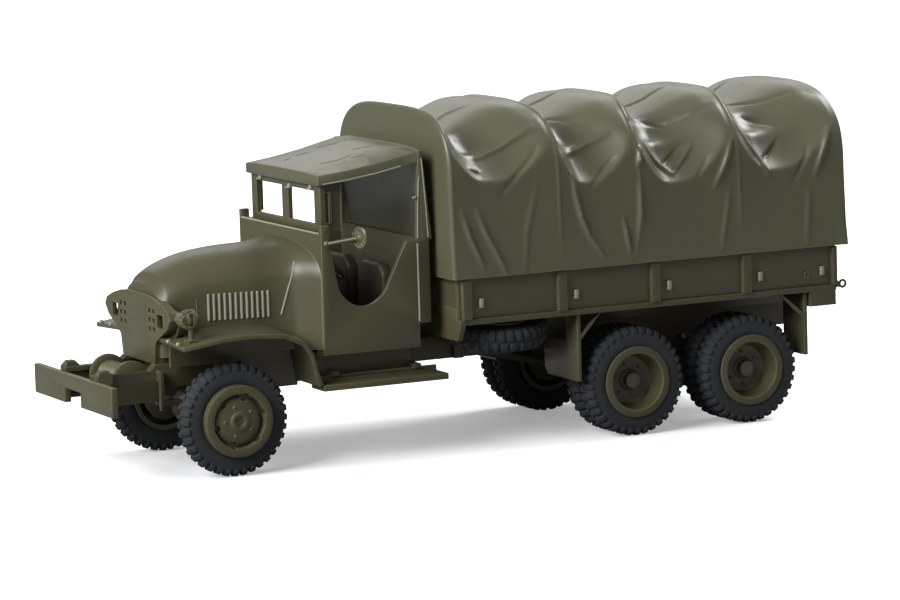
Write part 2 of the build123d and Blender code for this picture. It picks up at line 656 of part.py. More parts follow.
# Cab tub: side walls with their door openings, front and rear walls, stepped floor
tub_line = [(CAB_FRONT_X, CAB_Z0), (CAB_STEP_X, CAB_Z0), (CAB_STEP_X, CAB_TAIL_Z), (CAB_REAR_X, CAB_TAIL_Z),
            (CAB_REAR_X, CAB_Z1), (CAB_FRONT_X - PILLAR_W, CAB_Z1), (CAB_FRONT_X - PILLAR_W, PILLAR_Z1),
            (CAB_FRONT_X, PILLAR_Z1)]
wall_in = CAB_HALF - CAB_T
door_top = PILLAR_Z1 + 1
pillar_x = CAB_FRONT_X - PILLAR_W
door_rear_x = CAB_REAR_X + 2.4


def door_point(back, down):
    """Point of the door's edge, measured from the wall's front upper corner."""
    return (CAB_FRONT_X - back, 0, CAB_Z1 - down)


door_knee = door_point(1.5, 3.0)
door_low = door_point(4.1, 5.8)
door_heel = door_point(6.8, 3.8)
door_edge = (
    Line((pillar_x, 0, door_top), (pillar_x, 0, CAB_Z1)),
    Line((pillar_x, 0, CAB_Z1), door_knee),
    ThreePointArc(door_knee, door_point(2.5, 5.1), door_low),
    ThreePointArc(door_low, door_point(5.7, 5.3), door_heel),
    Line(door_heel, (door_rear_x, 0, CAB_Z1)),
    Line((door_rear_x, 0, CAB_Z1), (door_rear_x, 0, door_top)),
    Line((door_rear_x, 0, door_top), (pillar_x, 0, door_top)),
)
doors = extrude(make_face(Wire(door_edge)), amount=2 * CAB_HALF, dir=(0, 1, 0), both=True)
wall = plate(tub_line, "y", wall_in, CAB_HALF) - doors
tub = wall + mirror(wall, Plane.XZ)
floor_z = CAB_Z0 + CAB_T
for x0, x1, z0, z1 in (
        (CAB_FRONT_X - CAB_T, CAB_FRONT_X, CAB_Z0, SCUTTLE_Z1),
        (CAB_STEP_X, CAB_FRONT_X, CAB_Z0, floor_z),
        (CAB_STEP_X, CAB_STEP_X + CAB_T, CAB_Z0, CAB_TAIL_Z + CAB_T),
        (CAB_REAR_X, CAB_STEP_X, CAB_TAIL_Z, CAB_TAIL_Z + CAB_T),
        (CAB_REAR_X, CAB_REAR_X + CAB_T, CAB_TAIL_Z, CAB_Z1)):
    tub += block(x0, x1, -wall_in, wall_in, z0, z1)
screen_x = ROOF_FRONT_X - VALANCE_T - 0.02
screen_back = screen_x - SCREEN_T
tub += block(screen_back, CAB_FRONT_X, -wall_in, wall_in, SCUTTLE_Z1 - CAB_T, SCUTTLE_Z1)
nodes["cab_tub"] = [tub]

# Windscreen frame: two panes cut out, and a quarter window at each end
screen_half = CAB_HALF - SCREEN_EDGE
pane_z0 = SCUTTLE_Z1 + SCREEN_SILL
pane_z1 = SCREEN_TOP - SCREEN_HEAD
screen = block(screen_back, screen_x, -screen_half, screen_half, SCUTTLE_Z1, SCREEN_TOP)
pane = block(screen_back - 1, screen_x + 1, SCREEN_BAR / 2, screen_half - SCREEN_SIDE, pane_z0, pane_z1)
screen -= pane + mirror(pane, Plane.XZ)
vent_y = screen_half - ROOF_T
vent = block(screen_back - VENT_W, screen_back, vent_y, screen_half, pane_z0, pane_z1)
vent -= block(screen_back - VENT_W + VENT_BAR, screen_back, vent_y - 1, screen_half + 1,
              pane_z0 + VENT_BAR, pane_z1 - VENT_BAR)
screen += vent + mirror(vent, Plane.XZ)
nodes["windscreen_frame"] = [screen]

# Cab soft top: X, half width, edge Z, crown Z
roof_table = (
    (ROOF_FRONT_X, CAB_HALF - 1.15, 27.25, 27.45),
    (-12.6, CAB_HALF - 0.85, 27.6, 28.0),
    (-15.6, CAB_HALF - 0.55, 28.1, 28.7),
    (-17.9, CAB_HALF - 0.3, 28.6, 29.25),
    (-20.0, CAB_HALF - 0.1, 29.05, 29.4),
)


def roof_half_line(half, edge, crown):
    """Upper half outline across the roof."""
    return [(half, edge), (half * 0.7, edge + (crown - edge) * 0.8), (0, crown)]


def roof_face(x, half, edge, crown):
    """Roof sheet with its side lips as one bent strip at one X."""
    outer = [(half, edge - ROOF_LIP)] + roof_half_line(half, edge, crown)
    inner = [(half - ROOF_T, edge - ROOF_LIP), (half - ROOF_T, edge - ROOF_T), (0, crown - ROOF_T)]
    strip = outer + [(-y, z) for y, z in outer[-2::-1]]
    strip += [(-y, z) for y, z in inner] + inner[-2::-1]
    return outline_face(strip, "x", x)


roof = loft([roof_face(*row) for row in roof_table], ruled=True)
front_x, front_half, front_edge, front_crown = roof_table[0]
valance_line = [(front_half, front_edge - ROOF_LIP)] + roof_half_line(front_half, front_edge, front_crown)
roof += plate(two_sided(valance_line), "x", front_x - VALANCE_T, front_x)
last_x, last_half, last_edge, last_crown = roof_table[-1]
gable_line = [(last_half, last_edge - ROOF_LIP)] + roof_half_line(last_half, last_edge, last_crown)
roof += plate(two_sided(gable_line), "x", last_x, last_x + CURTAIN_T)
curtain_foot = last_x - CURTAIN_LEAN
curtain_line = [(last_x + CURTAIN_T, last_edge), (last_x, last_edge), (curtain_foot, CAB_Z1),
                (curtain_foot + CURTAIN_T, CAB_Z1)]
roof += plate(curtain_line, "y", -last_half, last_half)
panel_line = [(CAB_STEP_X + 0.1, CAB_Z1), (CAB_STEP_X - 0.3, last_edge - ROOF_LIP), (last_x, last_edge),
              (curtain_foot, CAB_Z1)]
panel = plate(panel_line, "y", last_half - ROOF_T, last_half)
roof += panel + mirror(panel, Plane.XZ)
nodes["cab_soft_top"] = [roof]

# Seats, steering wheel and the driver's mirror
passenger_gap = 0.6
driver_y = 4.3
seat_table = ((driver_y - 2.9, wall_in - 1.9), (-(wall_in - 0.9), -passenger_gap))
seats = []
for y0, y1 in seat_table:
    cushion = block(CAB_FRONT_X - 3.6, CAB_REAR_X + 2.9, y0, y1, floor_z, floor_z + SEAT_H)
    back = block(CAB_REAR_X + 3.9, CAB_REAR_X + 2.7, y0, y1, floor_z, floor_z + SEAT_BACK_H)
    top_corners = back.edges().filter_by(Axis.X).group_by(Axis.Z)[-1]
    seats.append(cushion + chamfer(top_corners, 1.0))
nodes["seats"] = seats
wheel_centre = (CAB_FRONT_X - 3.0, driver_y, CAB_Z1 - 2.2)
column_foot = (CAB_FRONT_X - CAB_T, driver_y, CAB_Z1 - 4.6)
column = bar(column_foot, wheel_centre, 0.25)
wheel_plane = Plane(origin=wheel_centre, z_dir=Vector(*wheel_centre) - Vector(*column_foot))
wheel_t = 0.35
ring = prism_z(RIM_SIDES, STEERING_R, 0, wheel_t) - prism_z(RIM_SIDES, STEERING_R - wheel_t, 0, wheel_t)
ring += Pos(0, 0, wheel_t / 2) * Box(2 * STEERING_R - wheel_t, wheel_t, wheel_t / 2)
ring += prism_z(TUBE_SIDES, 0.5, 0, wheel_t)
nodes["steering_wheel"] = [largest(column + wheel_plane * ring - tub)]
mirror_z = 21.6
mirror_root = (CAB_FRONT_X - 0.3, CAB_HALF, 20.95)
mirror_centre = (CAB_FRONT_X - 2.9, CAB_HALF + MIRROR_REACH, mirror_z)
mirror_disc = Plane(origin=mirror_centre, z_dir=(1, 0.25, 0)) * prism_z(BORE_SIDES, MIRROR_R, 0, wheel_t)
mirror_arm = bar(mirror_root, mirror_centre, 0.2)
nodes["mirror"] = [largest(mirror_arm + mirror_disc - tub)]

# Bed floor with its sills, front bracket, cross bearers, tail brackets and long bearers on the rails
bed_in = BED_HALF - POST_PROUD - SIDE_T
side_out = BED_HALF - POST_PROUD
floor = block(BED_REAR_X, BED_FRONT_X, -bed_in, bed_in, BED_FLOOR_Z, BED_FLOOR_Z + BED_FLOOR_T)
sill = block(BED_REAR_X, BED_FRONT_X, bed_in - SIDE_T, side_out + SILL_PROUD, BED_Z0, BED_Z0 + SILL_H)
sill += block(BED_REAR_X, BED_FRONT_X, bed_in - SIDE_T, bed_in, BED_Z0, BED_FLOOR_Z)
sill += block(BED_REAR_X, BED_REAR_X + 3, TAIL_RING_Y - TAIL_RING_T, TAIL_RING_Y + TAIL_RING_T, BRACKET_Z0, BED_Z0)
floor += sill + mirror(sill, Plane.XZ)
bracket_half = [(BED_HALF - 0.8, BRACKET_Z0), (BED_HALF, BED_Z0), (BED_HALF, BED_Z0 + SILL_H),
                (bed_in, BED_Z0 + SILL_H), (bed_in, BED_FLOOR_Z)]
floor += plate(two_sided(bracket_half), "x", BED_FRONT_X - CROSS_T, BED_FRONT_X)
floor += block(BED_REAR_X, BED_REAR_X + CROSS_T, -bed_in, bed_in, BED_Z0, BED_FLOOR_Z)
bearer_front = BOGIE_X + BOGIE_PITCH
bearer_pitch = (bearer_front - BED_REAR_X) / BEARER_COUNT
for bearer in range(BEARER_COUNT):
    x = bearer_front - bearer * bearer_pitch
    floor += block(x - BEARER_W, x, -bed_in, bed_in, BED_Z0, BED_FLOOR_Z)
long_bearer = block(BED_REAR_X, bearer_front, flange_in, RAIL_OUT_Y, RAIL_Z1, BED_Z0)
floor += long_bearer + mirror(long_bearer, Plane.XZ)
nodes["bed_floor"] = [floor]

# Bed sides with their posts, front board, tailgate, rope cleats and tail rings
side_z0 = BED_Z0 + SILL_H
side = block(BED_REAR_X, BED_FRONT_X, bed_in, side_out, side_z0, BOARD_TOP_Z)
cleats = []
for post in range(POST_COUNT):
    x = BED_FRONT_X - POST_INSET - post * POST_PITCH
    side += block(max(x - POST_W, BED_REAR_X), x, side_out - 0.1, BED_HALF, side_z0, TARP_Z0 - 0.1)
    cleat_x = x - 2 * POST_W if post < POST_COUNT - 1 else x + 1.5 * POST_W
    cleats.append(block(cleat_x - CLEAT_W, cleat_x, side_out, side_out + CLEAT_PROUD, CLEAT_Z0, CLEAT_Z1))
side -= block(BED_FRONT_X - CROSS_T, BED_FRONT_X, bed_in, BED_HALF, BED_Z0, side_z0)
nodes["bed_side_left"] = [side]
nodes["bed_side_right"] = [mirror(side, Plane.XZ)]
nodes["rope_cleats"] = both(*cleats)
end_z0 = BED_FLOOR_Z + BED_FLOOR_T
nodes["bed_front_board"] = [block(BED_FRONT_X - SIDE_T, BED_FRONT_X, -bed_in, bed_in, end_z0, BOARD_TOP_Z)]
nodes["tailgate"] = [block(BED_REAR_X, BED_REAR_X + SIDE_T, -bed_in, bed_in, end_z0, BOARD_TOP_Z)]
ring_y0 = TAIL_RING_Y - TAIL_RING_T / 2
ring_y1 = TAIL_RING_Y + TAIL_RING_T / 2
tail_ring = prism_y(TUBE_SIDES, TAIL_RING_R, ring_y0, ring_y1, TAIL_RING_X, TAIL_RING_Z)
tail_ring += block(TAIL_RING_X, BED_REAR_X, ring_y0, ring_y1, TAIL_RING_Z - 0.3, TAIL_RING_Z + 0.3)
tail_ring -= prism_y(TUBE_SIDES, TAIL_RING_HOLE_R, ring_y0, ring_y1, TAIL_RING_X, TAIL_RING_Z)
nodes["tail_rings"] = both(tail_ring)

# Cover: half outline over a hoop as (Y, Z) up the left side
hoop_half = [(TARP_HALF, TARP_Z0), (TARP_HALF, TARP_TOP - 7.45), (TARP_HALF - 0.5, TARP_TOP - 4.35),
             (TARP_HALF - 2.0, TARP_TOP - 2.05), (TARP_HALF - 5.3, TARP_TOP - 0.65), (TARP_HALF - 9.7, TARP_TOP)]
hoop_line = two_sided(hoop_half)

# How far each edge of that outline, from the left foot to the crown, sinks between two hoops,
# and where along the bay: at the hoop, in the hollow behind it, and on the swell before the next
hollow_depths = (0.15, 0.5, 1.1, 1.3, 1.25, 1.2)
swell_depths = (0.0, 0.1, 0.3, 0.4, 0.4, 0.4)
bay_forms = ((0.0, None), (0.3, hollow_depths), (0.76, swell_depths))
bay_lengths = (11.35, 9.7, 10.8, 11.5)


def sunk(depths):
    """The hoop's outline with each edge moved inward, the same on both sides, its foot level."""
    if depths is None:
        return hoop_line
    return inset(hoop_line, depths + depths[-2::-1] + (0,))


tarp_faces = []
bay_x = TARP_FRONT_X
for bay_length in bay_lengths:
    real_length = bay_length * TARP_LENGTH / sum(bay_lengths)
    for share, depths in bay_forms:
        tarp_faces.append(outline_face(sunk(depths), "x", bay_x - share * real_length))
    bay_x -= real_length
tarp_faces.append(outline_face(hoop_line, "x", TARP_REAR_X))
tarp = loft(tarp_faces, ruled=True)
room_depths = tuple(depth + TARP_T for depth in hollow_depths)
room_line = inset(hoop_line, room_depths + room_depths[-2::-1] + (-1,))
tarp -= plate(room_line, "x", TARP_REAR_X + TARP_T, TARP_FRONT_X - TARP_T)
nodes["tarpaulin"] = [tarp]

# Splash guards ahead of the middle wheels and behind the rear wheels
inner_y = inner_tyre_y - half_w
splash_out = side_out - 0.2
brace_w = 0.5
mid_line = [(RAIL_OUT_Y + 0.8, SPLASH_Z0 + 0.4), (inner_y - 1.2, SPLASH_Z0 - 0.3), (splash_out, SPLASH_Z0 - 0.3),
            (splash_out, BED_Z0), (splash_out - 2.4, BED_Z0), (splash_out - 2.4, 9.6), (RAIL_OUT_Y + 0.8, 9.6)]
rear_line = [(inner_tyre_y, SPLASH_Z0), (splash_out, SPLASH_Z0), (splash_out, BED_Z0), (inner_tyre_y, BED_Z0)]
middle_splash_x = MIDDLE_X + TYRE_R + SPLASH_GAP
rear_splash_x = REAR_X - TYRE_R - SPLASH_GAP - SPLASH_T
guards = []
for line, x, brace in ((mid_line, middle_splash_x, -2.3), (rear_line, rear_splash_x, 2.7)):
    shield = plate(line, "x", x, x + SPLASH_T)
    foot = x + (SPLASH_T if brace > 0 else 0)
    strut = [(foot, 9.9), (foot, 10.4), (foot + brace * 0.9, BED_Z0), (foot + brace, BED_Z0)]
    shield += plate(strut, "y", splash_out - brace_w, splash_out)
    guards.append(shield)
nodes["splash_guards"] = both(*guards)

# Spare wheel lying on two arms beside the frame, its outer edge lower
tilt = math.radians(SPARE_TILT)
spare_y = SPARE_OUT_Y - TYRE_R * math.cos(tilt)
spare_z = SPARE_OUT_Z + TYRE_R * math.sin(tilt)
spare_place = Pos(SPARE_X, spare_y, spare_z) * Rot(-SPARE_TILT, 0, 0)
nodes["spare_tyre"] = [spare_place * tyre(0)]
nodes["spare_rim"] = [spare_place * rim(-half_w, half_w, RIM_FLANGE_T, SPARE_DISH, SPARE_HUB_OUT)]
carrier_top = -half_w - RIM_FLANGE_T - 0.05
carrier_w = 1.0
carriers = []
for x in (BEAD_R - carrier_w, -BEAD_R):
    arm = spare_place * block(x, x + carrier_w, -2.3, 1.6, carrier_top - 0.5, carrier_top)
    arm += block(SPARE_X + x, SPARE_X + x + carrier_w, RAIL_OUT_Y, RAIL_OUT_Y + 0.6, RAIL_Z0, RAIL_Z1 - FLANGE_T)
    carriers.append(arm)
nodes["spare_carrier"] = carriers

# Fuel tank and silencer on the right, tail lamps and towing pintle
tank_rear_x = TANK_FRONT_X - TANK_LENGTH
tank = block(TANK_FRONT_X, tank_rear_x, -TANK_OUT_Y, -TANK_IN_Y, TANK_Z0, TANK_Z1)
tank = chamfer(tank.edges().filter_by(Axis.X), TANK_EDGE)
strap = 0.7
for x in (TANK_FRONT_X - strap, tank_rear_x + 2 * strap):
    tank += block(x, x - strap, -TANK_IN_Y - 0.1, -RAIL_OUT_Y, RAIL_Z0 + 0.4, RAIL_Z0 + 1.4)
nodes["fuel_tank"] = [tank]
silencer_rear = SILENCER_X - SILENCER_L / 2
silencer = Pos(silencer_rear, -SILENCER_Y, SILENCER_Z) * Rot(0, 90, 0) * prism_z(
    BORE_SIDES, SILENCER_R, 0, SILENCER_L)
silencer += bar((silencer_rear, -SILENCER_Y, SILENCER_Z), (silencer_rear - TAILPIPE_L, -SILENCER_Y, SILENCER_Z),
                TAILPIPE_R)
for x in (silencer_rear + 0.5, silencer_rear + SILENCER_L - 1):
    silencer += block(x, x + 0.5, -SILENCER_Y, -RAIL_OUT_Y, SILENCER_Z - 0.2, SILENCER_Z + 0.2)
nodes["silencer"] = [silencer]
lamp_out = side_out - 1.8
tail_lamp = block(BED_REAR_X - 0.5, BED_REAR_X, lamp_out - LAMP_BOX_W, lamp_out, BED_Z0, BED_Z0 + LAMP_BOX_H)
nodes["tail_lamps"] = both(tail_lamp)
pintle_x = BED_REAR_X - PINTLE_R - 0.15
pintle = block(BED_REAR_X - 0.5, BED_REAR_X, -0.9, 0.9, RAIL_Z0 + 0.3, RAIL_Z1 - 0.3)
pintle += Pos(pintle_x, 0, PINTLE_Z - PINTLE_H / 2) * prism_z(TUBE_SIDES, PINTLE_R, 0, PINTLE_H)
pintle -= Pos(pintle_x, 0, PINTLE_Z) * Cylinder(PINTLE_BORE_R, 2 * PINTLE_H)
nodes["tow_pintle"] = [pintle]

for name, shapes in nodes.items():
    solids = [solid for shape in shapes for solid in shape.solids()]
    moved = [Pos(-MID_X, 0, 0) * solid for solid in solids]
    export_step(moved[0] if len(moved) == 1 else Compound(children=moved), f"parts/{name}.step")

print("node count", len(nodes), "middle", round(MID_X, 4))
for word, x in (("front", 0.0), ("middle", MIDDLE_X), ("rear", REAR_X)):
    print(word, "axle at X", round(x - MID_X, 4), "Z", AXLE_Z)
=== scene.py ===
import json
import math

import bmesh
import bpy
import numpy as np
from mathutils import Matrix, Vector
from mathutils.bvhtree import BVHTree

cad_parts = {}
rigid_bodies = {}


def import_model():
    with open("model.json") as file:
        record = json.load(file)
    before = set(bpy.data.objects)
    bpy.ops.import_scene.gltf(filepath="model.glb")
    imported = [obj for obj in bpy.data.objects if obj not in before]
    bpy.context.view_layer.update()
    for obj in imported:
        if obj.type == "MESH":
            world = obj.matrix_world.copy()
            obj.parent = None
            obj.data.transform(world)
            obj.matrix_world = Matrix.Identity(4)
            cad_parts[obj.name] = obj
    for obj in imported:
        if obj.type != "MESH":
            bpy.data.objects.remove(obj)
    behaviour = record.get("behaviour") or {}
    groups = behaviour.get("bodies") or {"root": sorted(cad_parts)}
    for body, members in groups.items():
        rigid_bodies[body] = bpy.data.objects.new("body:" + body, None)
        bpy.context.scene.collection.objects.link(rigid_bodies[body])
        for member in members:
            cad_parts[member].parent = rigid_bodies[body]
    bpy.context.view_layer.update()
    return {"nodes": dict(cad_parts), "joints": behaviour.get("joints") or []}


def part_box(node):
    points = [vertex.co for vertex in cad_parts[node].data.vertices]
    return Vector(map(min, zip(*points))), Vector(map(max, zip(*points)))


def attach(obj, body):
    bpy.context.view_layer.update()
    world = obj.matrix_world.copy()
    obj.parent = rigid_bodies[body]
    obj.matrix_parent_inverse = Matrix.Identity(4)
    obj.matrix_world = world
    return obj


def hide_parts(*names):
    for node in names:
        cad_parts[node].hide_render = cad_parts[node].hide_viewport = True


bl_info = {
    "name": "Moulded cargo truck",
    "version": (1, 0, 0),
    "blender": (4, 5, 0),
    "location": "3D View > Sidebar > Truck",
    "description": "Dresses a small plastic model of a covered six-wheeled cargo truck",
    "category": "Object",
}

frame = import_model()

# The pieces are modelled in millimetres and brought to metres when they are finished
MM = 0.001
TRUCK = "truck"
SIDES = ((1, "left"), (-1, "right"))
ROUND_STEPS = 72
OUTSIDE = 60.0


def joint_place(name):
    """Place of a wheel's joint in millimetres."""
    for joint in frame["joints"]:
        if joint["name"] == name:
            return Vector(joint["pos_m"]) / MM
    raise RuntimeError("no joint named " + name)


def node_box(node):
    """Lowest and highest corner of a CAD node in millimetres."""
    low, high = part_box(node)
    return low / MM, high / MM


FRONT_AXLE = joint_place("front_spin_left")


def ahead(x):
    """Place along the truck of a point measured forward from the front axle."""
    return FRONT_AXLE.x + x


def spot(x, y, z):
    """A point measured forward from the front axle, to the left from the middle, and up."""
    return Vector((ahead(x), y, z))


# What settings of one kind share
LENGTH = {"min": 0, "unit": "LENGTH", "precision": 6}
COLOUR = {"subtype": "COLOR", "size": 3, "min": 0, "max": 1}


class TruckSizes(bpy.types.PropertyGroup):
    """Sizes of what the moulding shows beyond the frame."""

    edge: bpy.props.FloatProperty(
        name="Edge radius", description="Rounding of the moulded edges", default=0.07 * MM, **LENGTH)
    lug_count: bpy.props.IntProperty(
        name="Tread lugs", description="Lugs in each row of a tyre", default=36, min=12)
    lug_height: bpy.props.FloatProperty(
        name="Lug height", description="How far a lug stands off the tread", default=0.21 * MM, **LENGTH)
    crown_sag: bpy.props.FloatProperty(
        name="Crown sag", description="How far the cover sinks between its hoops at the top",
        default=2.1 * MM, **LENGTH)
    shoulder_sag: bpy.props.FloatProperty(
        name="Shoulder sag", description="How deep the cover's pockets are behind each hoop",
        default=1.75 * MM, **LENGTH)
    fold_height: bpy.props.FloatProperty(
        name="Fold height", description="Height of the cover's moulded folds", default=0.22 * MM, **LENGTH)
    hem: bpy.props.FloatProperty(
        name="Cover wall", description="Wall of the cover at its hem", default=0.4 * MM, **LENGTH)


class TruckFinish(bpy.types.PropertyGroup):
    """Colours and light."""

    olive: bpy.props.FloatVectorProperty(
        name="Body plastic", description="Colour of the moulded body",
        default=(0.066, 0.062, 0.031), **COLOUR)
    canvas: bpy.props.FloatVectorProperty(
        name="Cover plastic", description="Colour of the moulded cover and cab top",
        default=(0.091, 0.092, 0.057), **COLOUR)
    tyre: bpy.props.FloatVectorProperty(
        name="Tyre plastic", description="Colour of the tyres", default=(0.005, 0.009, 0.011), **COLOUR)
    # Painted shade: the frame, running gear, cab inside and other parts in shadow get this darker colour
    dark: bpy.props.FloatVectorProperty(
        name="Painted shade", description="Colour of the frame and running gear",
        default=(0.046, 0.040, 0.020), **COLOUR)
    # Painted highlight: thin raised lines get this paler colour where they would catch the light
    pale: bpy.props.FloatVectorProperty(
        name="Painted highlight", description="Colour of thin raised lines, where the plastic looks paler",
        default=(0.24, 0.25, 0.19), **COLOUR)
    sky: bpy.props.FloatProperty(
        name="Room light", description="Strength of the light from all round", default=0.2, min=0)
    key: bpy.props.FloatProperty(
        name="Key light", description="Power of the lamp ahead of the truck", default=1.9, min=0)
    top: bpy.props.FloatProperty(
        name="Top light", description="Power of the lamp over the truck", default=0.9, min=0)
    back: bpy.props.FloatProperty(
        name="Back light", description="Power of the lamp behind the truck", default=0.25, min=0)
    mirrored: bpy.props.FloatProperty(
        name="Mirrored room", description="How bright the room looks in reflections", default=0.25, min=0)


def sizes():
    """The sizes as they are set now."""
    return bpy.context.scene.truck_sizes


def finish():
    """The finish as it is set now."""
    return bpy.context.scene.truck_finish


# Modelling helpers


def only(*pieces):
    """Selects these pieces and nothing else."""
    if bpy.context.mode != "OBJECT":
        bpy.ops.object.mode_set(mode="OBJECT")
    for each in bpy.context.view_layer.objects:
        if each.select_get():
            each.select_set(False)
    for piece in pieces:
        piece.select_set(True)
    bpy.context.view_layer.objects.active = pieces[0] if pieces else None


def added(name):
    """Names the primitive that was just added."""
    piece = bpy.context.active_object
    piece.name = name
    piece.data.name = name
    return piece


def select_all(chosen=True):
    """Selects the whole mesh that is being edited, or nothing of it."""
    bpy.ops.mesh.select_all(action="SELECT" if chosen else "DESELECT")


def edit(piece, mode="FACE"):
    """Opens a piece in edit mode with nothing selected and hands over its mesh."""
    only(piece)
    bpy.ops.object.mode_set(mode="EDIT")
    bpy.ops.mesh.select_mode(type=mode)
    select_all(False)
    return bmesh.from_edit_mesh(piece.data)


def weld(distance):
    """Joins the points of the mesh that is being edited which are closer than a distance."""
    select_all()
    bpy.ops.mesh.remove_doubles(threshold=distance)


def face_out():
    """Turns all faces of the mesh that is being edited outwards."""
    select_all()
    bpy.ops.mesh.normals_make_consistent(inside=False)


def drawn_out(offset):
    """Draws the selected edges out by an offset."""
    bpy.ops.mesh.extrude_edges_move(TRANSFORM_OT_translate={"value": offset})


def close(piece):
    """Leaves edit mode."""
    bmesh.update_edit_mesh(piece.data)
    bpy.ops.object.mode_set(mode="OBJECT")
    return piece


def applied(piece):
    """Puts the object's place, turn and scale into its mesh."""
    only(piece)
    bpy.ops.object.transform_apply(location=True, rotation=True, scale=True)
    return piece


def moved(piece, matrix):
    """Places a piece by a matrix and applies it."""
    piece.matrix_world = matrix
    return applied(piece)


def turn_by(degrees, axis):
    """Matrix of a turn about an axis."""
    return Matrix.Rotation(math.radians(degrees), 4, axis)


def facing(way):
    """Matrix that turns the local Z axis into a direction."""
    return Vector(way).to_track_quat("Z", "Y").to_matrix().to_4x4()


def block(name, low, high):
    """A box between two corners."""
    low, high = Vector(low), Vector(high)
    only()
    bpy.ops.mesh.primitive_cube_add(size=1, location=(low + high) / 2)
    piece = added(name)
    piece.scale = high - low
    return applied(piece)


def turned(name, profile, steps):
    """A round body about the local Z axis: a circle drawn out through (radius, height) pairs."""
    only()
    radius, height = profile[0]
    bpy.ops.mesh.primitive_circle_add(vertices=steps, radius=radius, location=(0, 0, height))
    piece = applied(added(name))
    edit(piece, "EDGE")
    select_all()
    for next_radius, next_height in profile[1:]:
        drawn_out((0, 0, next_height - height))
        if next_radius == 0:
            bpy.ops.mesh.merge(type="CENTER")
        elif next_radius != radius:
            share = next_radius / radius
            bpy.ops.transform.resize(value=(share, share, 1), center_override=(0, 0, next_height))
        radius, height = next_radius, next_height
    weld(0.0005)
    face_out()
    return close(piece)


def round_body(name, profile, steps=ROUND_STEPS):
    """A turned body whose profile starts near its axis, with its open ends filled."""
    piece = turned(name, profile, steps)
    edit(piece, "VERT")
    select_all()
    bpy.ops.mesh.fill_holes(sides=0)
    face_out()
    return close(piece)


def closed_ring(name, profile, steps):
    """A round body whose profile comes back to its first point, such as a ring."""
    return turned(name, profile + profile[:1], steps)


def tube_ring(name, radius, thickness, steps, tube_steps=10):
    """A ring of round section about the local Z axis."""
    bpy.ops.mesh.primitive_torus_add(major_segments=steps, minor_segments=tube_steps, major_radius=radius,
                                     minor_radius=thickness, location=(0, 0, 0))
    return added(name)


def rod(name, start, end, radius, steps=16, cap=0.05):
    """A round bar between two points with softened ends."""
    start, end = Vector(start), Vector(end)
    length = (end - start).length
    cap = min(cap, radius / 2, length / 4)
    profile = [(radius / 2, 0.0), (radius - cap, 0.0), (radius, cap), (radius, length - cap),
               (radius - cap, length), (0.0, length)]
    return moved(round_body(name, profile, steps), Matrix.Translation(start) @ facing(end - start))


def bead(name, points, radius, steps=8):
    """A thin raised line through several points."""
    return joined(name, [rod(f"{name}_{index}", start, end, radius, steps, 0.02)
                         for index, (start, end) in enumerate(zip(points, points[1:]))])


def use(piece, kind, **values):
    """Adds one modifier with its values and applies it."""
    only(piece)
    modifier = piece.modifiers.new(kind.lower(), kind)
    for key, value in values.items():
        setattr(modifier, key, value)
    bpy.ops.object.modifier_apply(modifier=modifier.name)
    return piece


def bevelled(piece, width=None, segments=2, angle=30):
    """Rounds the edges that are sharper than an angle."""
    width = sizes().edge / MM if width is None else width
    return use(piece, "BEVEL", width=width, segments=segments, limit_method="ANGLE",
               angle_limit=math.radians(angle), miter_outer="MITER_ARC", use_clamp_overlap=True)


def joined(name, parts):
    """One piece from several."""
    only(*parts)
    if len(parts) > 1:
        bpy.ops.object.join()
    return added(name)


def copied(piece, name):
    """A copy of a piece with its own mesh."""
    twin = piece.copy()
    twin.data = piece.data.copy()
    twin.name = name
    twin.data.name = name
    bpy.context.scene.collection.objects.link(twin)
    return twin


def ring_of(piece, count):
    """Copies a piece round the local Z axis."""
    copies = [piece]
    for index in range(1, count):
        twin = copied(piece, f"{piece.name}_{index}")
        copies.append(moved(twin, Matrix.Rotation(2 * math.pi * index / count, 4, "Z")))
    return copies


def laid_grid(name, places):
    """A sheet of four-cornered faces through rows and columns of places."""
    rows, columns = places.shape[:2]
    only()
    bpy.ops.mesh.primitive_grid_add(x_subdivisions=columns - 1, y_subdivisions=rows - 1, size=2)
    piece = added(name)
    mesh = piece.data
    grid = np.empty(len(mesh.vertices) * 3)
    mesh.vertices.foreach_get("co", grid)
    shares = (grid.reshape(-1, 3) + 1) / 2
    column = np.rint(shares[:, 0] * (columns - 1)).astype(int)
    row = np.rint(shares[:, 1] * (rows - 1)).astype(int)
    mesh.vertices.foreach_set("co", places[row, column].reshape(-1))
    mesh.update()
    return piece


def cad_copy(node, name, tidy=True):
    """A welded copy of a CAD node's mesh in millimetres; tidy makes each flat face one piece."""
    piece = bpy.data.objects.new(name, frame["nodes"][node].data.copy())
    piece.data.name = name
    piece.data.materials.clear()
    bpy.context.scene.collection.objects.link(piece)
    piece.scale = (1 / MM,) * 3
    applied(piece)
    edit(piece, "VERT")
    weld(0.002)
    if tidy:
        bpy.ops.mesh.dissolve_limited(angle_limit=math.radians(1.5))
    return close(piece)


def cad_hit(node, start, way):
    """Where a line from outside first meets a CAD node, in metres as the frame has it."""
    mesh = frame["nodes"][node].data
    faces = BVHTree.FromPolygons([vertex.co for vertex in mesh.vertices],
                                 [face.vertices for face in mesh.polygons])
    place = faces.ray_cast(Vector(start) * MM, Vector(way))[0]
    if place is None:
        raise RuntimeError(f"{node} has no face on the line from {start}")
    return place


def skin(node, x, z, side=1):
    """Place across the truck of a CAD node's outer face, at a place along it and a height."""
    return cad_hit(node, (x, side * OUTSIDE, z), (0, -side, 0)).y / MM
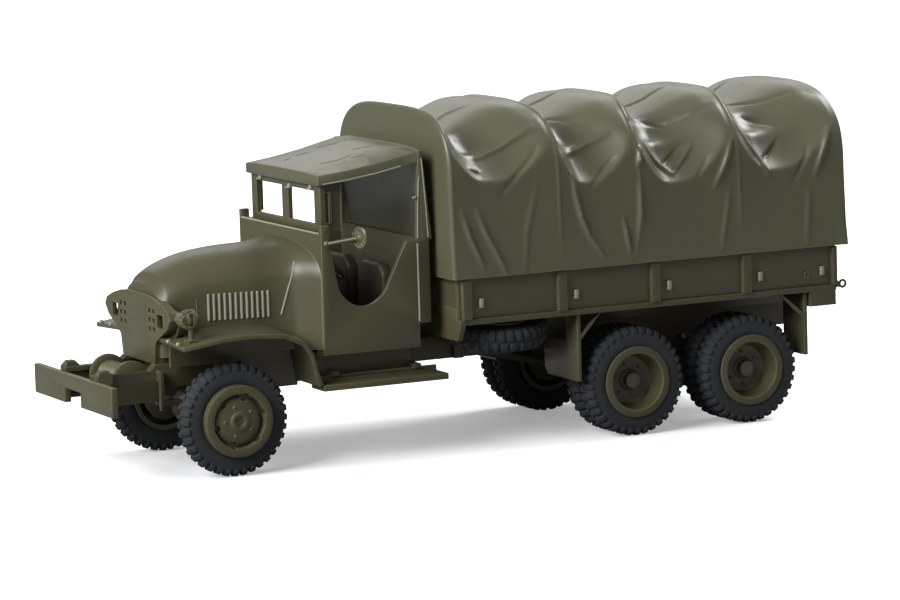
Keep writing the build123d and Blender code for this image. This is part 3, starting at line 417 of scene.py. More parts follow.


# Without a look given, a piece gets the paler plastic that is painted as a highlight
def settle(piece, look="highlight_olive", *nodes, slot="olive_plastic", body=TRUCK, smooth=35):
    """Finishes a piece: metres, smooth shading, material, body and the nodes it stands for; the slot is not
    used.
    """
    piece.scale = (MM,) * 3
    applied(piece)
    only(piece)
    bpy.ops.object.shade_smooth_by_angle(angle=math.radians(smooth), keep_sharp_edges=False)
    piece.data.materials.clear()
    piece.data.materials.append(bpy.data.materials[look])
    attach(piece, body)
    if nodes:
        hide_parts(*nodes)
    return piece


def mould(piece_name, node, look="olive_body", share=0.8, tidy=True, slot="olive_plastic"):
    """A node's own form with its edges softened."""
    piece = cad_copy(node, piece_name, tidy)
    bevelled(piece, sizes().edge / MM * share)
    return settle(piece, look, node, slot=slot)


# Finishes

GRAIN_HEIGHT = 0.004
SCUFF_ROUGHNESS = 0.14


def new_group(name, inputs, outputs):
    """A node group with named sockets: its tree, what comes in, and its output node."""
    group = bpy.data.node_groups.new(name, "ShaderNodeTree")
    for socket_name, default in inputs.items():
        socket = group.interface.new_socket(name=socket_name, in_out="INPUT", socket_type="NodeSocketFloat")
        socket.default_value = default
    for socket_name in outputs:
        group.interface.new_socket(name=socket_name, in_out="OUTPUT", socket_type="NodeSocketFloat")
    return group, group.nodes.new("NodeGroupInput").outputs, group.nodes.new("NodeGroupOutput")


def feed(tree, node, inputs):
    """Gives a node's inputs their values, or links them to another node's output."""
    for name, value in inputs.items():
        if isinstance(value, bpy.types.NodeSocket):
            tree.links.new(value, node.inputs[name])
        else:
            node.inputs[name].default_value = value


def shader_node(tree, kind, inputs, **settings):
    """Adds a shader node with its settings and inputs."""
    node = tree.nodes.new("ShaderNode" + kind)
    for key, value in settings.items():
        setattr(node, key, value)
    feed(tree, node, inputs)
    return node


def moulding_group():
    """Node group: soft cloudiness, scuffs and fine grain of moulded plastic."""
    group, enter, leave = new_group("moulded_plastic", {"Cloud Scale": 120.0, "Grain Scale": 4000.0},
                                    ("Cloud", "Grain", "Scuffs"))
    where = shader_node(group, "TexCoord", {}).outputs["Object"]
    cloud = shader_node(group, "TexNoise", {"Vector": where, "Scale": enter["Cloud Scale"], "Detail": 3.0})
    grain = shader_node(group, "TexNoise", {"Vector": where, "Scale": enter["Grain Scale"], "Detail": 2.0})
    finer = shader_node(group, "Math", {0: enter["Cloud Scale"], 1: 5.0}, operation="MULTIPLY")
    scuff = shader_node(group, "TexNoise", {"Vector": where, "Scale": finer.outputs[0], "Detail": 5.0,
                                            "Roughness": 0.7})
    band = shader_node(group, "MapRange", {"Value": scuff.outputs["Fac"], "From Min": 0.56,
                                           "From Max": 0.72})
    feed(group, leave, {"Cloud": cloud.outputs["Fac"], "Grain": grain.outputs["Fac"],
                        "Scuffs": band.outputs["Result"]})


def edge_group():
    """Node group: where thin edges and corners are, for the highlight painted along them."""
    group, enter, leave = new_group("painted_edge_highlights", {"Radius": 0.12 * MM, "Reach": 0.16}, ("Edge",))
    rounded = shader_node(group, "Bevel", {"Radius": enter["Radius"]}, samples=4)
    shape = shader_node(group, "NewGeometry", {})
    match = shader_node(group, "VectorMath", {0: rounded.outputs["Normal"], 1: shape.outputs["Normal"]},
                        operation="DOT_PRODUCT")
    apart = shader_node(group, "Math", {0: 1.0, 1: match.outputs["Value"]}, operation="SUBTRACT")
    mask = shader_node(group, "MapRange", {"Value": apart.outputs[0], "From Max": enter["Reach"]})
    feed(group, leave, {"Edge": mask.outputs["Result"]})


def toned(colour, gains):
    """A colour with each of its parts brightened or darkened, and fully opaque."""
    return (*(min(part * gain, 1) for part, gain in zip(colour, gains)), 1)


def plastic(name, colour, roughness, cloud=120.0, grain=4000.0, edge_highlight_gain=2.8, cloud_gain=0.12):
    """A satin moulded plastic with its own colour and grain, and a highlight painted paler on its edges."""
    material = bpy.data.materials.new(name)
    material.use_nodes = True
    tree = material.node_tree
    groups = bpy.data.node_groups
    surface = shader_node(tree, "Group", {"Cloud Scale": cloud, "Grain Scale": grain},
                          node_tree=groups["moulded_plastic"])
    edges = shader_node(tree, "Group", {}, node_tree=groups["painted_edge_highlights"])
    warm = (1 + cloud_gain * 1.15, 1 + cloud_gain, 1 + cloud_gain * 0.7)
    tone = shader_node(tree, "Mix", {"Factor": surface.outputs["Cloud"], "B": toned(colour, warm),
                                     "A": toned(colour, (1 - cloud_gain,) * 3)}, data_type="RGBA")
    # Edges and corners are painted paler as a highlight, where they would catch the light
    edge_highlight = shader_node(tree, "Mix", {"Factor": edges.outputs["Edge"], "A": tone.outputs["Result"],
                                    "B": toned(colour, (edge_highlight_gain,) * 3)}, data_type="RGBA")
    sheen = shader_node(tree, "MapRange", {"Value": surface.outputs["Scuffs"], "To Min": roughness,
                                           "To Max": roughness + SCUFF_ROUGHNESS})
    relief = shader_node(tree, "Bump", {"Distance": GRAIN_HEIGHT * MM, "Strength": 0.6,
                                        "Height": surface.outputs["Grain"]})
    feed(tree, tree.nodes["Principled BSDF"], {"Base Color": edge_highlight.outputs["Result"],
                                               "Roughness": sheen.outputs["Result"],
                                               "Normal": relief.outputs["Normal"]})


class TRUCK_OT_finishes(bpy.types.Operator):
    """Makes the moulded plastics that the pieces share"""

    bl_idname = "truck.finishes"
    bl_label = "Plastic finishes"

    def execute(self, context):
        moulding_group()
        edge_group()
        look = finish()
        # Each plastic is painted paler along its edges as a highlight, by its own gain
        plastic("olive_body", look.olive, 0.40)
        plastic("canvas_cover", look.canvas, 0.36, cloud=90.0, grain=5200.0, edge_highlight_gain=1.7)
        plastic("tyre_black", look.tyre, 0.52, edge_highlight_gain=1.6, cloud_gain=0.2)
        # A darker plastic painted as the shade under the truck and inside the cab
        plastic("shade_olive", look.dark, 0.5)
        # A paler plastic painted as a highlight on thin raised lines
        plastic("highlight_olive", look.pale, 0.5, edge_highlight_gain=1.2)
        return {"FINISHED"}


# The cover over the bed

# Hoops of the cover: place forward of the front axle at the crown and at the left side, and how
# deep the pocket behind it is
HOOPS = ((-21.5, -21.6, 0.95), (-32.4, -33.0, 1.0), (-43.0, -41.7, 1.2), (-53.7, -52.7, 1.05),
         (-64.6, -64.5, 0.0))
COVER_ROWS = 316
COVER_COLUMNS = 250
END_ROWS = 26
CORNER_ROWS = 6
CORNER_R = 0.4
# Height where the walls turn into the crown, and half the width there
SPRING_LINE = 24.0
CROWN_HALF = 12.5
# Squareness and room under the top, for the front hoop and for the others, and how far back the
# one turns into the other
CROWN_POWERS = (3.7, 3.0)
CROWN_CLEARS = (0.15, 0.3)
CROWN_BLEND = 18.0
# Pockets: the plane that they are laid back past, and, as shares of the way to the next hoop, how
# soon they are deep, where they end and how long they take to rise
POCKET_TILT = math.radians(36)
POCKET_DEEP = 0.32
POCKET_END = 0.93
POCKET_RISE = 0.58
HOLLOW_GAIN = 1.28
# How softly a pocket's edge bends at the sides, and how much softer over the crown
SHARP_BEND = 0.07
SOFT_BEND = 0.5
# Valleys over the crown: where they go down and come up, as shares of the same way
VALLEY_DOWN = (0.0, 0.19)
VALLEY_UP = (0.21, 0.84)
CROWN_FOLD_GAIN = 0.6
WELT_HEIGHT = 0.1
WELT_HALF = 0.16
WALL_HANG = 0.2
HEM_FLICK = 0.2
FLICK_LENGTH = 1.6
# Where something sets in or ends softly, as distances from the middle line
LEAN_BAND = (4.0, 11.0)
BEND_BAND = (9.0, 12.2)
SIDE_BAND = (9.0, 11.0)
# The same as heights
CROWN_BAND = (SPRING_LINE + 5, SPRING_LINE + 8)
HANG_FOOT = (17.0, 23.0)
HANG_HEAD = (26.0, 29.0)
FLICK_BAND = (17.0, 19.5)
WELT_BAND = (17.0, 25.0)

# Folds on the cover's sides: height as a share of the full fold, half width, then points as
# (place forward of the front axle, height)
SIDE_FOLDS = (
    (1.3, 0.25, ((-25.2, 29.1), (-29.3, 30.3), (-31.3, 30.7))),
    (1.0, 0.25, ((-23.9, 27.8), (-25.0, 27.4))),
    (-0.9, 0.28, ((-26.9, 24.6), (-28.8, 26.5), (-30.4, 28.0), (-31.1, 28.9))),
    (1.3, 0.24, ((-22.6, 23.2), (-23.3, 20.8), (-24.6, 17.9))),
    (1.6, 0.24, ((-24.2, 23.2), (-25.1, 20.8), (-25.7, 19.7), (-27.0, 17.1))),
    (0.5, 0.30, ((-30.7, 25.3), (-29.4, 20.8), (-28.9, 17.2))),
    (1.2, 0.25, ((-35.0, 28.8), (-37.4, 29.6), (-39.4, 29.9))),
    (-0.9, 0.26, ((-36.4, 24.4), (-38.4, 26.7), (-39.3, 27.4))),
    (1.7, 0.24, ((-34.5, 26.2), (-34.7, 24.2), (-35.2, 21.9), (-36.0, 20.0), (-37.4, 18.1))),
    (1.5, 0.22, ((-41.5, 26.2), (-42.3, 28.5))),
    (1.1, 0.24, ((-41.7, 24.7), (-41.6, 21.5), (-41.1, 18.2))),
    (1.2, 0.20, ((-39.8, 21.3), (-40.3, 18.1))),
    (1.6, 0.26, ((-43.6, 29.4), (-44.4, 27.4), (-45.8, 25.6))),
    (1.5, 0.24, ((-45.8, 25.6), (-47.4, 27.4), (-48.5, 28.7))),
    (-1.3, 0.20, ((-45.3, 27.1), (-47.4, 28.8))),
    (-0.9, 0.24, ((-48.2, 24.8), (-49.6, 26.8))),
    (1.6, 0.24, ((-50.0, 23.6), (-51.2, 25.9), (-52.2, 28.2))),
    (0.7, 0.24, ((-51.6, 23.1), (-50.9, 20.0), (-50.4, 17.4))),
    (1.6, 0.24, ((-54.2, 29.3), (-55.3, 26.8), (-56.0, 24.4))),
    (-1.8, 0.20, ((-56.2, 26.6), (-58.4, 28.6))),
    (-0.9, 0.24, ((-58.9, 23.6), (-60.4, 25.9), (-60.9, 27.3))),
    (1.6, 0.24, ((-61.3, 24.0), (-62.0, 25.8), (-63.3, 28.6))),
    (0.7, 0.30, ((-60.6, 22.4), (-60.2, 19.4), (-60.0, 17.4))),
)

# Folds over the crown: height share, half width, then points as (place forward of the front
# axle, distance from the middle line)
CROWN_FOLDS = (
    (1.0, 0.40, ((-24.4, 2.0), (-26.6, 1.0), (-28.6, 2.0))),
    (-1.2, 0.30, ((-36.0, -3.0), (-38.8, -1.5), (-41.2, -1.8))),
    (-1.2, 0.30, ((-35.4, 4.0), (-36.8, 6.4), (-38.0, 8.7))),
    (-1.4, 0.28, ((-45.6, 0.0), (-48.4, 1.2), (-51.4, 0.8))),
    (-1.7, 0.30, ((-44.8, 6.4), (-47.4, 9.0), (-49.6, 9.6), (-51.6, 9.0))),
    (1.0, 0.35, ((-45.4, -5.0), (-47.6, -4.4), (-49.4, -5.4))),
    (-1.3, 0.28, ((-56.0, -3.9), (-58.6, -3.2), (-61.2, -4.0))),
    (-1.6, 0.30, ((-56.4, 3.2), (-59.0, 6.4), (-61.6, 7.6))),
    (-1.5, 0.30, ((-56.0, 7.4), (-57.8, 9.4), (-58.6, 10.6))),
)


def smooth_step(low, high, value):
    """Soft change from 0 to 1 between two values."""
    share = np.clip((value - low) / (high - low), 0, 1)
    return share * share * (3 - 2 * share)


def fold_relief(height, half, line, first, second):
    """Height of one fold, full along its line and falling to 0 at its ends and sides."""
    total = sum(math.dist(a, b) for a, b in zip(line, line[1:]))
    nearest = np.full(first.shape, np.inf)
    place = np.zeros(first.shape)
    done = 0.0
    for (ax, az), (bx, bz) in zip(line, line[1:]):
        length = math.dist((ax, az), (bx, bz))
        share = np.clip(((first - ax) * (bx - ax) + (second - az) * (bz - az)) / length ** 2, 0, 1)
        away = np.hypot(first - ax - share * (bx - ax), second - az - share * (bz - az))
        place = np.where(away < nearest, (done + share * length) / total, place)
        nearest = np.minimum(nearest, away)
        done += length
    taper = np.sin(np.pi * np.clip(place * 0.9 + 0.05, 0, 1)) ** 0.7
    return height * taper * np.exp(-(nearest / half) ** 2)


def cover_profile(power, clear):
    """Outline over a hoop from the left hem to the right one, evenly spaced along its length."""
    low, high = node_box("tarpaulin")
    turn = np.linspace(0, math.pi / 2, 200)
    rise = high.z - SPRING_LINE - clear
    y = np.concatenate([[high.y], CROWN_HALF * np.cos(turn) ** (2 / power)])
    z = np.concatenate([[low.z], SPRING_LINE + rise * np.sin(turn) ** (2 / power)])
    y = np.concatenate([y, -y[-2::-1]])
    z = np.concatenate([z, z[-2::-1]])
    length = np.concatenate([[0], np.cumsum(np.hypot(np.diff(y), np.diff(z)))])
    even = np.linspace(0, length[-1], COVER_COLUMNS)
    return np.stack([np.interp(even, length, y), np.interp(even, length, z)])


def bay_places(x, y):
    """Share of the way from one hoop back to the next, and that hoop's pocket depth."""
    lean = smooth_step(*LEAN_BAND, np.abs(y))
    share = np.zeros(x.shape)
    depth = np.zeros(x.shape)
    for (crown, side, pocket), (next_crown, next_side, _) in zip(HOOPS, HOOPS[1:]):
        start = ahead(crown) + lean * (side - crown)
        end = ahead(next_crown) + lean * (next_side - next_crown)
        inside = (x <= start) & (x >= end)
        share = np.where(inside, (start - x) / (start - end), share)
        depth = np.where(inside, pocket, depth)
    return share, depth


def sink_cover(x, y, z, size):
    """Sinks the hoops' outline between them: pockets at the shoulders, valleys over the crown."""
    share, depth = bay_places(x, y)
    # Pockets: what stands beyond a tilted plane is laid back past it, so that it turns hollow
    pocket = np.minimum(share / POCKET_DEEP, (POCKET_END - share) / POCKET_RISE)
    pocket = np.sin(np.clip(pocket, 0, 1) * math.pi / 2) * (share > 0)
    normal_y, normal_z = math.cos(POCKET_TILT), math.sin(POCKET_TILT)
    reach = np.abs(y) * normal_y + z * normal_z
    past = reach - reach.max(axis=1, keepdims=True)
    bend = SHARP_BEND + SOFT_BEND * (1 - smooth_step(*BEND_BAND, np.abs(y)))
    beyond = past + size.shoulder_sag / MM * depth * pocket
    laid_back = HOLLOW_GAIN * bend * (np.logaddexp(0, beyond / bend) - np.logaddexp(0, past / bend))
    laid_back = np.maximum(laid_back * (pocket > 0), 0)
    # Valleys, where the crown sinks
    valley = smooth_step(*VALLEY_DOWN, share) * (1 - smooth_step(*VALLEY_UP, share))
    crown = smooth_step(*CROWN_BAND, z)
    new_z = z - laid_back * normal_z - size.crown_sag / MM * valley * crown
    # The walls hang in a little between the hoops and flick out at the rear corner
    wall = smooth_step(*HANG_FOOT, z) * (1 - smooth_step(*HANG_HEAD, z))
    inward = WALL_HANG * np.sin(np.pi * share) * wall
    near_rear = 1 - smooth_step(0.0, FLICK_LENGTH, x - x.min())
    flick = HEM_FLICK * near_rear * (1 - smooth_step(*FLICK_BAND, z))
    return y + np.sign(y) * (flick - inward - laid_back * normal_y), new_z, share


def add_folds(x, y, z, share, size):
    """Moulded folds on the walls and over the crown and a welt on each hoop, as a height."""
    relief = np.zeros(x.shape)
    on_wall = smooth_step(*SIDE_BAND, np.abs(y))
    # The hidden right side has the same folds in the other order
    across = ahead(HOOPS[0][0]) + ahead(HOOPS[-1][0]) - x
    for height, half, line in SIDE_FOLDS:
        line = [(ahead(px), pz) for px, pz in line]
        left = fold_relief(height, half, line, x, z) * (y > 0)
        right = fold_relief(height, half, line, across, z) * (y < 0)
        relief += (left + right) * on_wall
    for height, half, line in CROWN_FOLDS:
        line = [(ahead(px), py) for px, py in line]
        relief += fold_relief(CROWN_FOLD_GAIN * height, half, line, x, y) * (z > SPRING_LINE + 4)
    relief *= size.fold_height / MM
    bay = HOOPS[0][0] - HOOPS[1][0]
    from_hoop = np.minimum(share, 1 - share) * bay
    high_up = smooth_step(*WELT_BAND, z)
    return relief + WELT_HEIGHT * high_up * np.exp(-(from_hoop / WELT_HALF) ** 2) * (share > 0)


def cover_rows(front, rear):
    """For each row of the grid its place along the truck, its inset and how far the end is closed."""
    rows = COVER_ROWS + 2 * (END_ROWS + CORNER_ROWS)
    x = np.empty((rows, 1))
    inset = np.zeros((rows, 1))
    closed = np.zeros((rows, 1))
    first = END_ROWS + CORNER_ROWS
    x[first:first + COVER_ROWS, 0] = np.linspace(front - CORNER_R, rear + CORNER_R, COVER_ROWS)
    for index in range(first):
        turn = max(0, index - END_ROWS) / CORNER_ROWS * math.pi / 2
        for row, end, way in ((index, front, -1), (rows - 1 - index, rear, 1)):
            x[row] = end + way * CORNER_R * (1 - math.cos(turn))
            inset[row] = CORNER_R * (1 - math.sin(turn))
            closed[row] = max(0, 1 - index / END_ROWS)
    return np.repeat(x, COVER_COLUMNS, axis=1), inset, closed


def make_cover(size):
    """The cover: a grid laid over the hoops, sunk between them, with its closed ends and its hem."""
    low, high = node_box("tarpaulin")
    front, rear = high.x, low.x
    x, inset, closed = cover_rows(front, rear)
    square, rounded = (cover_profile(*pair) for pair in zip(CROWN_POWERS, CROWN_CLEARS))
    rounder = smooth_step(0.0, CROWN_BLEND, front - x)
    y, z = (first + rounder * (other - first) for first, other in zip(square, rounded))
    new_y, new_z, share = sink_cover(x, y, z, size)
    relief = add_folds(x, y, z, share, size)
    step_y = np.gradient(new_y, axis=1)
    step_z = np.gradient(new_z, axis=1)
    step = np.hypot(step_y, step_z)
    out_y, out_z = step_z / step, -step_y / step
    sign = np.where(out_y * y + out_z * (z - SPRING_LINE) < 0, -1, 1)
    outward = (relief * np.clip(np.minimum(front - x, x - rear), 0, 1) - inset) * sign
    new_y = (new_y + out_y * outward) * (1 - closed)
    above = (new_z + out_z * outward * (new_z > low.z + CORNER_R) - low.z) * (1 - closed)
    above[:, [0, -1]] = 0
    piece = laid_grid("cover", np.stack([x, new_y, low.z + above], axis=2))
    edit(piece, "VERT")
    weld(0.001)
    face_out()
    select_all(False)
    bpy.ops.mesh.select_mode(type="EDGE")
    bpy.ops.mesh.select_non_manifold(extend=False)
    # The hem: a narrow lip underneath, then the wall's inner face up to the folds
    middle = ((front + rear) / 2, 0, low.z)
    wall = size.hem / MM
    narrow = (1 - 2 * wall / (front - rear), 1 - wall / high.y, 1)
    inner_top = SPRING_LINE - 0.5 - low.z
    for offset, taper in (((0, 0, 0), narrow), ((0, 0, inner_top), (0.99, 0.93, 1))):
        drawn_out(offset)
        bpy.ops.transform.resize(value=taper, center_override=middle)
    bpy.ops.mesh.edge_face_add()
    face_out()
    return close(piece)


class TRUCK_OT_cover(bpy.types.Operator):
    """Models the moulded cover with its hoops, pockets and folds"""

    bl_idname = "truck.cover"
    bl_label = "Bed cover"

    def execute(self, context):
        settle(make_cover(sizes()), "canvas_cover", "tarpaulin", slot="canvas_plastic", smooth=60)
        return {"FINISHED"}


# Wheels

WHEELS = tuple((axle, word, side) for axle in ("front", "middle", "rear") for side, word in SIDES)
TYRE_BORE_R = 3.12
# Lugs start outside this radius and this far from the tyre's middle line
LUGS_FROM_R = 4.6
LUGS_FROM_MIDDLE = 0.11
# Each lug and the groove beside it take this many steps, of which the lug has the first few
LUG_STEPS = 5
LUG_SHARE_STEPS = 3
SPARE_LEAN = 10.3


def tyre_width():
    """Width of one tyre."""
    low, high = node_box("front_tyre_left")
    return high.y - low.y


def tyre_shape(name, size):
    """A tyre about the local Z axis with two staggered rows of short shoulder lugs."""
    low, high = node_box("front_tyre_left")
    half = tyre_width() / 2
    outer = (high.z - low.z) / 2
    lug = size.lug_height / MM
    base = outer - lug
    side = [(TYRE_BORE_R, 0.0), (TYRE_BORE_R, half - 0.25), (3.42, half - 0.08), (3.85, half),
            (4.35, half - 0.04), (4.66, half - 0.12), (4.88, half - 0.3), (base, half - 0.52), (base, 0.1)]
    profile = side + [(radius, -height) for radius, height in reversed(side)]
    piece = turned(name, profile, LUG_STEPS * size.lug_count)
    pitch = 2 * math.pi / size.lug_count
    mesh = edit(piece)
    for face in mesh.faces:
        middle = face.calc_center_median()
        stagger = 0.5 * pitch if middle.z < 0 else 0
        turn = (math.atan2(middle.y, middle.x) + stagger) % pitch
        step = int(turn / pitch * LUG_STEPS + 0.001)
        on_tread = math.hypot(middle.x, middle.y) > LUGS_FROM_R and abs(middle.z) > LUGS_FROM_MIDDLE
        face.select_set(on_tread and step < LUG_SHARE_STEPS)
    bpy.ops.mesh.extrude_region_shrink_fatten(TRANSFORM_OT_shrink_fatten={"value": lug})
    mesh = bmesh.from_edit_mesh(piece.data)
    for vertex in mesh.verts:
        inward = min(1, outer / math.hypot(vertex.co.x, vertex.co.y))
        vertex.co.x *= inward
        vertex.co.y *= inward
        vertex.co.z = max(-half, min(half, vertex.co.z))
    return bevelled(close(piece), 0.05, 1, 40)


def spare_place():
    """Matrix of the spare wheel, which leans with its outer edge lower."""
    low, high = node_box("spare_tyre")
    return Matrix.Translation((low + high) / 2) @ turn_by(-SPARE_LEAN, "X")


class TRUCK_OT_tyres(bpy.types.Operator):
    """Models one tyre and places it on every wheel, twice on the driven axles, and on the spare"""

    bl_idname = "truck.tyres"
    bl_label = "Tyres"

    def execute(self, context):
        pattern = tyre_shape("tyre_pattern", sizes())
        look = {"slot": "tyre_black", "smooth": 40}
        for axle, word, side in WHEELS:
            node = f"{axle}_tyre_{word}"
            low, high = node_box(node)
            middle = (low + high) / 2
            inset = (high.y - low.y - tyre_width()) / 2
            parts = []
            # Of twin tyres the outer one comes first, and each stands at a turn of its own
            for index, offset in enumerate((0,) if axle == "front" else (side * inset, -side * inset)):
                spin = turn_by(7 * index + 3 * len(axle), "Z")
                place = Matrix.Translation((middle.x, middle.y + offset, middle.z))
                place = place @ turn_by(-90 * side, "X") @ spin
                parts.append(moved(copied(pattern, f"{node}_{index}"), place))
            tyre = joined(f"{axle}_{word}_treads", parts)
            settle(tyre, "tyre_black", node, body=f"{axle}_wheel_{word}", **look)
        moved(pattern, spare_place())
        pattern.name = "spare_tread"
        settle(pattern, "tyre_black", "spare_tyre", **look)
        return {"FINISHED"}


def rim_place(axle, word, side):
    """Matrix of a wheel centre whose local Z axis points outwards and starts at its outer end."""
    low, high = node_box(f"{axle}_rim_{word}")
    centre = joint_place(f"{axle}_spin_{word}")
    centre.y = high.y if side > 0 else low.y
    return Matrix.Translation(centre) @ turn_by(-90 * side, "X")


def barrel(depth, face):
    """Back of a wheel centre: hollow barrel from behind the disc out to the tyre's outer face."""
    return [(0.56, -face - 0.3), (2.72, -face - 0.34), (2.75, 0.22 - depth), (2.78, -depth), (3.2, -depth),
            (3.2, 0.2 - depth), (3.0, 0.24 - depth)]


def nuts(name, count, radius, z, size, height):
    """Small round heads standing on a face in a circle."""
    profile = [(size / 2, -0.06), (size, -0.06), (size, height / 2), (size * 0.7, height * 0.85),
               (size * 0.3, height), (0.0, height)]
    return ring_of(moved(round_body(name, profile, 12), Matrix.Translation((radius, 0, z))), count)


def front_centre():
    """Wheel centre of the steered axle: proud ring, dark groove and notched domed disc."""
    low, high = node_box("front_rim_left")
    profile = [(0.3, -0.24), (0.46, -0.22), (0.52, -0.04), (0.6, 0.0), (0.72, 0.0), (0.86, -0.06),
               (0.92, -0.2), (1.1, -0.24), (1.5, -0.28), (1.9, -0.38), (2.15, -0.5), (2.3, -0.62),
               (2.34, -0.7), (2.35, -0.94), (2.5, -0.94), (2.52, -0.24), (2.58, -0.14), (2.72, -0.1),
               (3.26, -0.1), (3.37, -0.16), (3.4, -0.28), (3.4, -0.82), (3.02, -0.84)]
    back = barrel(high.y - low.y, 0.85)[::-1]
    centre = round_body("front_centre", profile + back + [(0.56, -0.66), (0.0, -0.66)])
    cutter = rod("notch", (2.32, 0, -0.86), (2.32, 0, 0.2), 0.4, 20, 0.02)
    cutters = moved(joined("notches", ring_of(cutter, 6)), turn_by(14, "Z"))
    use(centre, "BOOLEAN", object=cutters, operation="DIFFERENCE", solver="EXACT")
    bpy.data.objects.remove(cutters)
    return joined("front_centre", [centre] + nuts("front_nut", 5, 1.42, -0.3, 0.14, 0.16))


def driven_centre(name, depth, dish, cap_out):
    """Wheel centre of the driven axles and the spare: deep bowl with a round cap among nuts."""
    floor = -dish
    cap = floor + cap_out
    profile = [(0.3, cap), (0.55, cap), (0.72, cap - 0.08), (0.78, cap - 0.25), (0.8, floor + 0.32),
               (1.0, floor + 0.2), (1.12, floor + 0.06), (1.9, floor), (2.25, floor + 0.1),
               (2.45, floor + 0.4), (2.68, -0.3), (2.74, -0.06), (2.82, 0.0), (3.36, 0.0), (3.45, -0.05),
               (3.45, -0.2), (3.02, -0.22)]
    bore = [(0.56, cap - 0.3), (0.0, cap - 0.3)]
    centre = round_body(name, profile + barrel(depth, dish)[::-1] + bore)
    return joined(name, [centre] + nuts(name + "_nut", 6, 1.55, floor + 0.02, 0.17, 0.22))


class TRUCK_OT_rims(bpy.types.Operator):
    """Turns the wheel centres: one for the front wheels, one for the twin wheels, one for the spare"""

    bl_idname = "truck.rims"
    bl_label = "Wheel centres"

    def execute(self, context):
        low, high = node_box("rear_rim_left")
        front, driven = front_centre(), driven_centre("driven_centre", high.y - low.y, 2.0, 1.15)
        for index, (axle, word, side) in enumerate(WHEELS):
            disc = copied(front if axle == "front" else driven, f"{axle}_{word}_disc")
            spin = turn_by(0 if axle == "front" else 23 * index, "Z")
            moved(disc, rim_place(axle, word, side) @ spin)
            settle(disc, "olive_body", f"{axle}_rim_{word}", body=f"{axle}_wheel_{word}")
        for pattern in (front, driven):
            bpy.data.objects.remove(pattern)
        spare = driven_centre("spare_centre", tyre_width() + 0.4, 1.2, 0.4)
        moved(spare, spare_place() @ Matrix.Translation((0, 0, tyre_width() / 2 + 0.2)))
        settle(spare, "olive_body", "spare_rim")
        return {"FINISHED"}


# Body pieces


class TRUCK_OT_bumper(bpy.types.Operator):
    """Softens the bumper plate"""

    bl_idname = "truck.bumper"
    bl_label = "Bumper"

    def execute(self, context):
        mould("bumper_plate", "bumper", share=1.2)
        return {"FINISHED"}


class TRUCK_OT_frame(bpy.types.Operator):
    """Softens the frame and rounds its tow hooks"""

    bl_idname = "truck.frame"
    bl_label = "Frame and tow hooks"

    def execute(self, context):
        # The frame is painted dark as the shade under the truck
        mould("frame_rails", "chassis_frame", "shade_olive", tidy=False)
        hooks = [rod("hook", spot(10.89, side * 3.78, 9.46), spot(10.89, side * 4.62, 9.46), 0.87, 32, 0.12)
                 for side, word in SIDES]
        settle(joined("tow_hooks", hooks), "olive_body")
        return {"FINISHED"}


class TRUCK_OT_running_gear(bpy.types.Operator):
    """Softens the axles, springs, shafts and the engine and gear blocks"""

    bl_idname = "truck.running_gear"
    bl_label = "Running gear"

    def execute(self, context):
        for piece_name, node in (
                ("front_axle_beam", "front_axle"), ("middle_axle_beam", "middle_axle"),
                ("rear_axle_beam", "rear_axle"), ("front_leaves", "front_springs"),
                ("bogie_leaves", "bogie_springs"), ("engine", "engine_block"),
                ("transfer_box", "transfer_case"), ("shafts", "drive_shafts")):
            # Axles, springs, shafts and blocks are painted dark as the shade under the truck
            mould(piece_name, node, "shade_olive")
        return {"FINISHED"}


WINCH_PLACE = (7.6, 0, 8.9)
ROPE_TURNS = 12


class TRUCK_OT_winch(bpy.types.Operator):
    """Turns the winch drum with its two flanges and the wound rope"""

    bl_idname = "truck.winch"
    bl_label = "Winch"

    def execute(self, context):
        end = node_box("winch")[1].y
        flange = [(0.4, -end), (0.55, -end), (0.55, -3.1), (1.75, -3.1), (1.88, -3.02), (1.88, -2.7),
                  (1.75, -2.62), (1.2, -2.6)]
        rope = []
        for index in range(ROPE_TURNS):
            y = -2.5 + 5.0 * index / ROPE_TURNS
            rope += [(1.2, y), (1.34, y + 0.12), (1.34, y + 0.26), (1.2, y + 0.38)]
        other_flange = [(radius, -height) for radius, height in reversed(flange)]
        drum = round_body("winch_drum", flange + rope + other_flange + [(0.0, end)], 40)
        moved(drum, Matrix.Translation(spot(*WINCH_PLACE)) @ turn_by(-90, "X"))
        settle(drum, "olive_body", "winch")
        return {"FINISHED"}


# The hood and cowl in one skin: place forward of the front axle, half width, top of the straight
# side and crown height
NOSE_ROWS = ((4.75, 4.62, 15.0, 17.8), (4.3, 4.75, 15.45, 18.5), (2.6, 5.0, 16.15, 19.42),
             (0.2, 5.35, 16.7, 20.1), (-3.0, 6.0, 17.1, 20.45), (-7.4, 6.9, 17.4, 20.6),
             (-9.3, 9.4, 17.5, 20.9))
NOSE_FOOT = 11.0
NOSE_STEPS = 76
SHOULDER_STEPS = 24
SIDE_STEPS = 8
SHOULDER_POWER = 2.3
# Rounded front edge: its size, then how far back each step is and how much is left of the rounding
NOSE_EDGE = 0.35
EDGE_STEPS = ((0.0, 1.0), (0.04, 0.62), (0.14, 0.28))
# Seam between hood and cowl, as points (place forward of the front axle, height)
SEAM_LINE = ((-7.9, 19.2), (-7.55, 18.3), (-6.95, 16.4), (-6.35, 14.3))
LOUVRE_COUNT = 12
LOUVRE_FIRST = 0.5
LOUVRE_STEP = -0.513
LOUVRE_Z = (14.15, 16.7)
PANEL_LINE_X = 1.62
PANEL_LINE_Z = (14.2, 16.3)


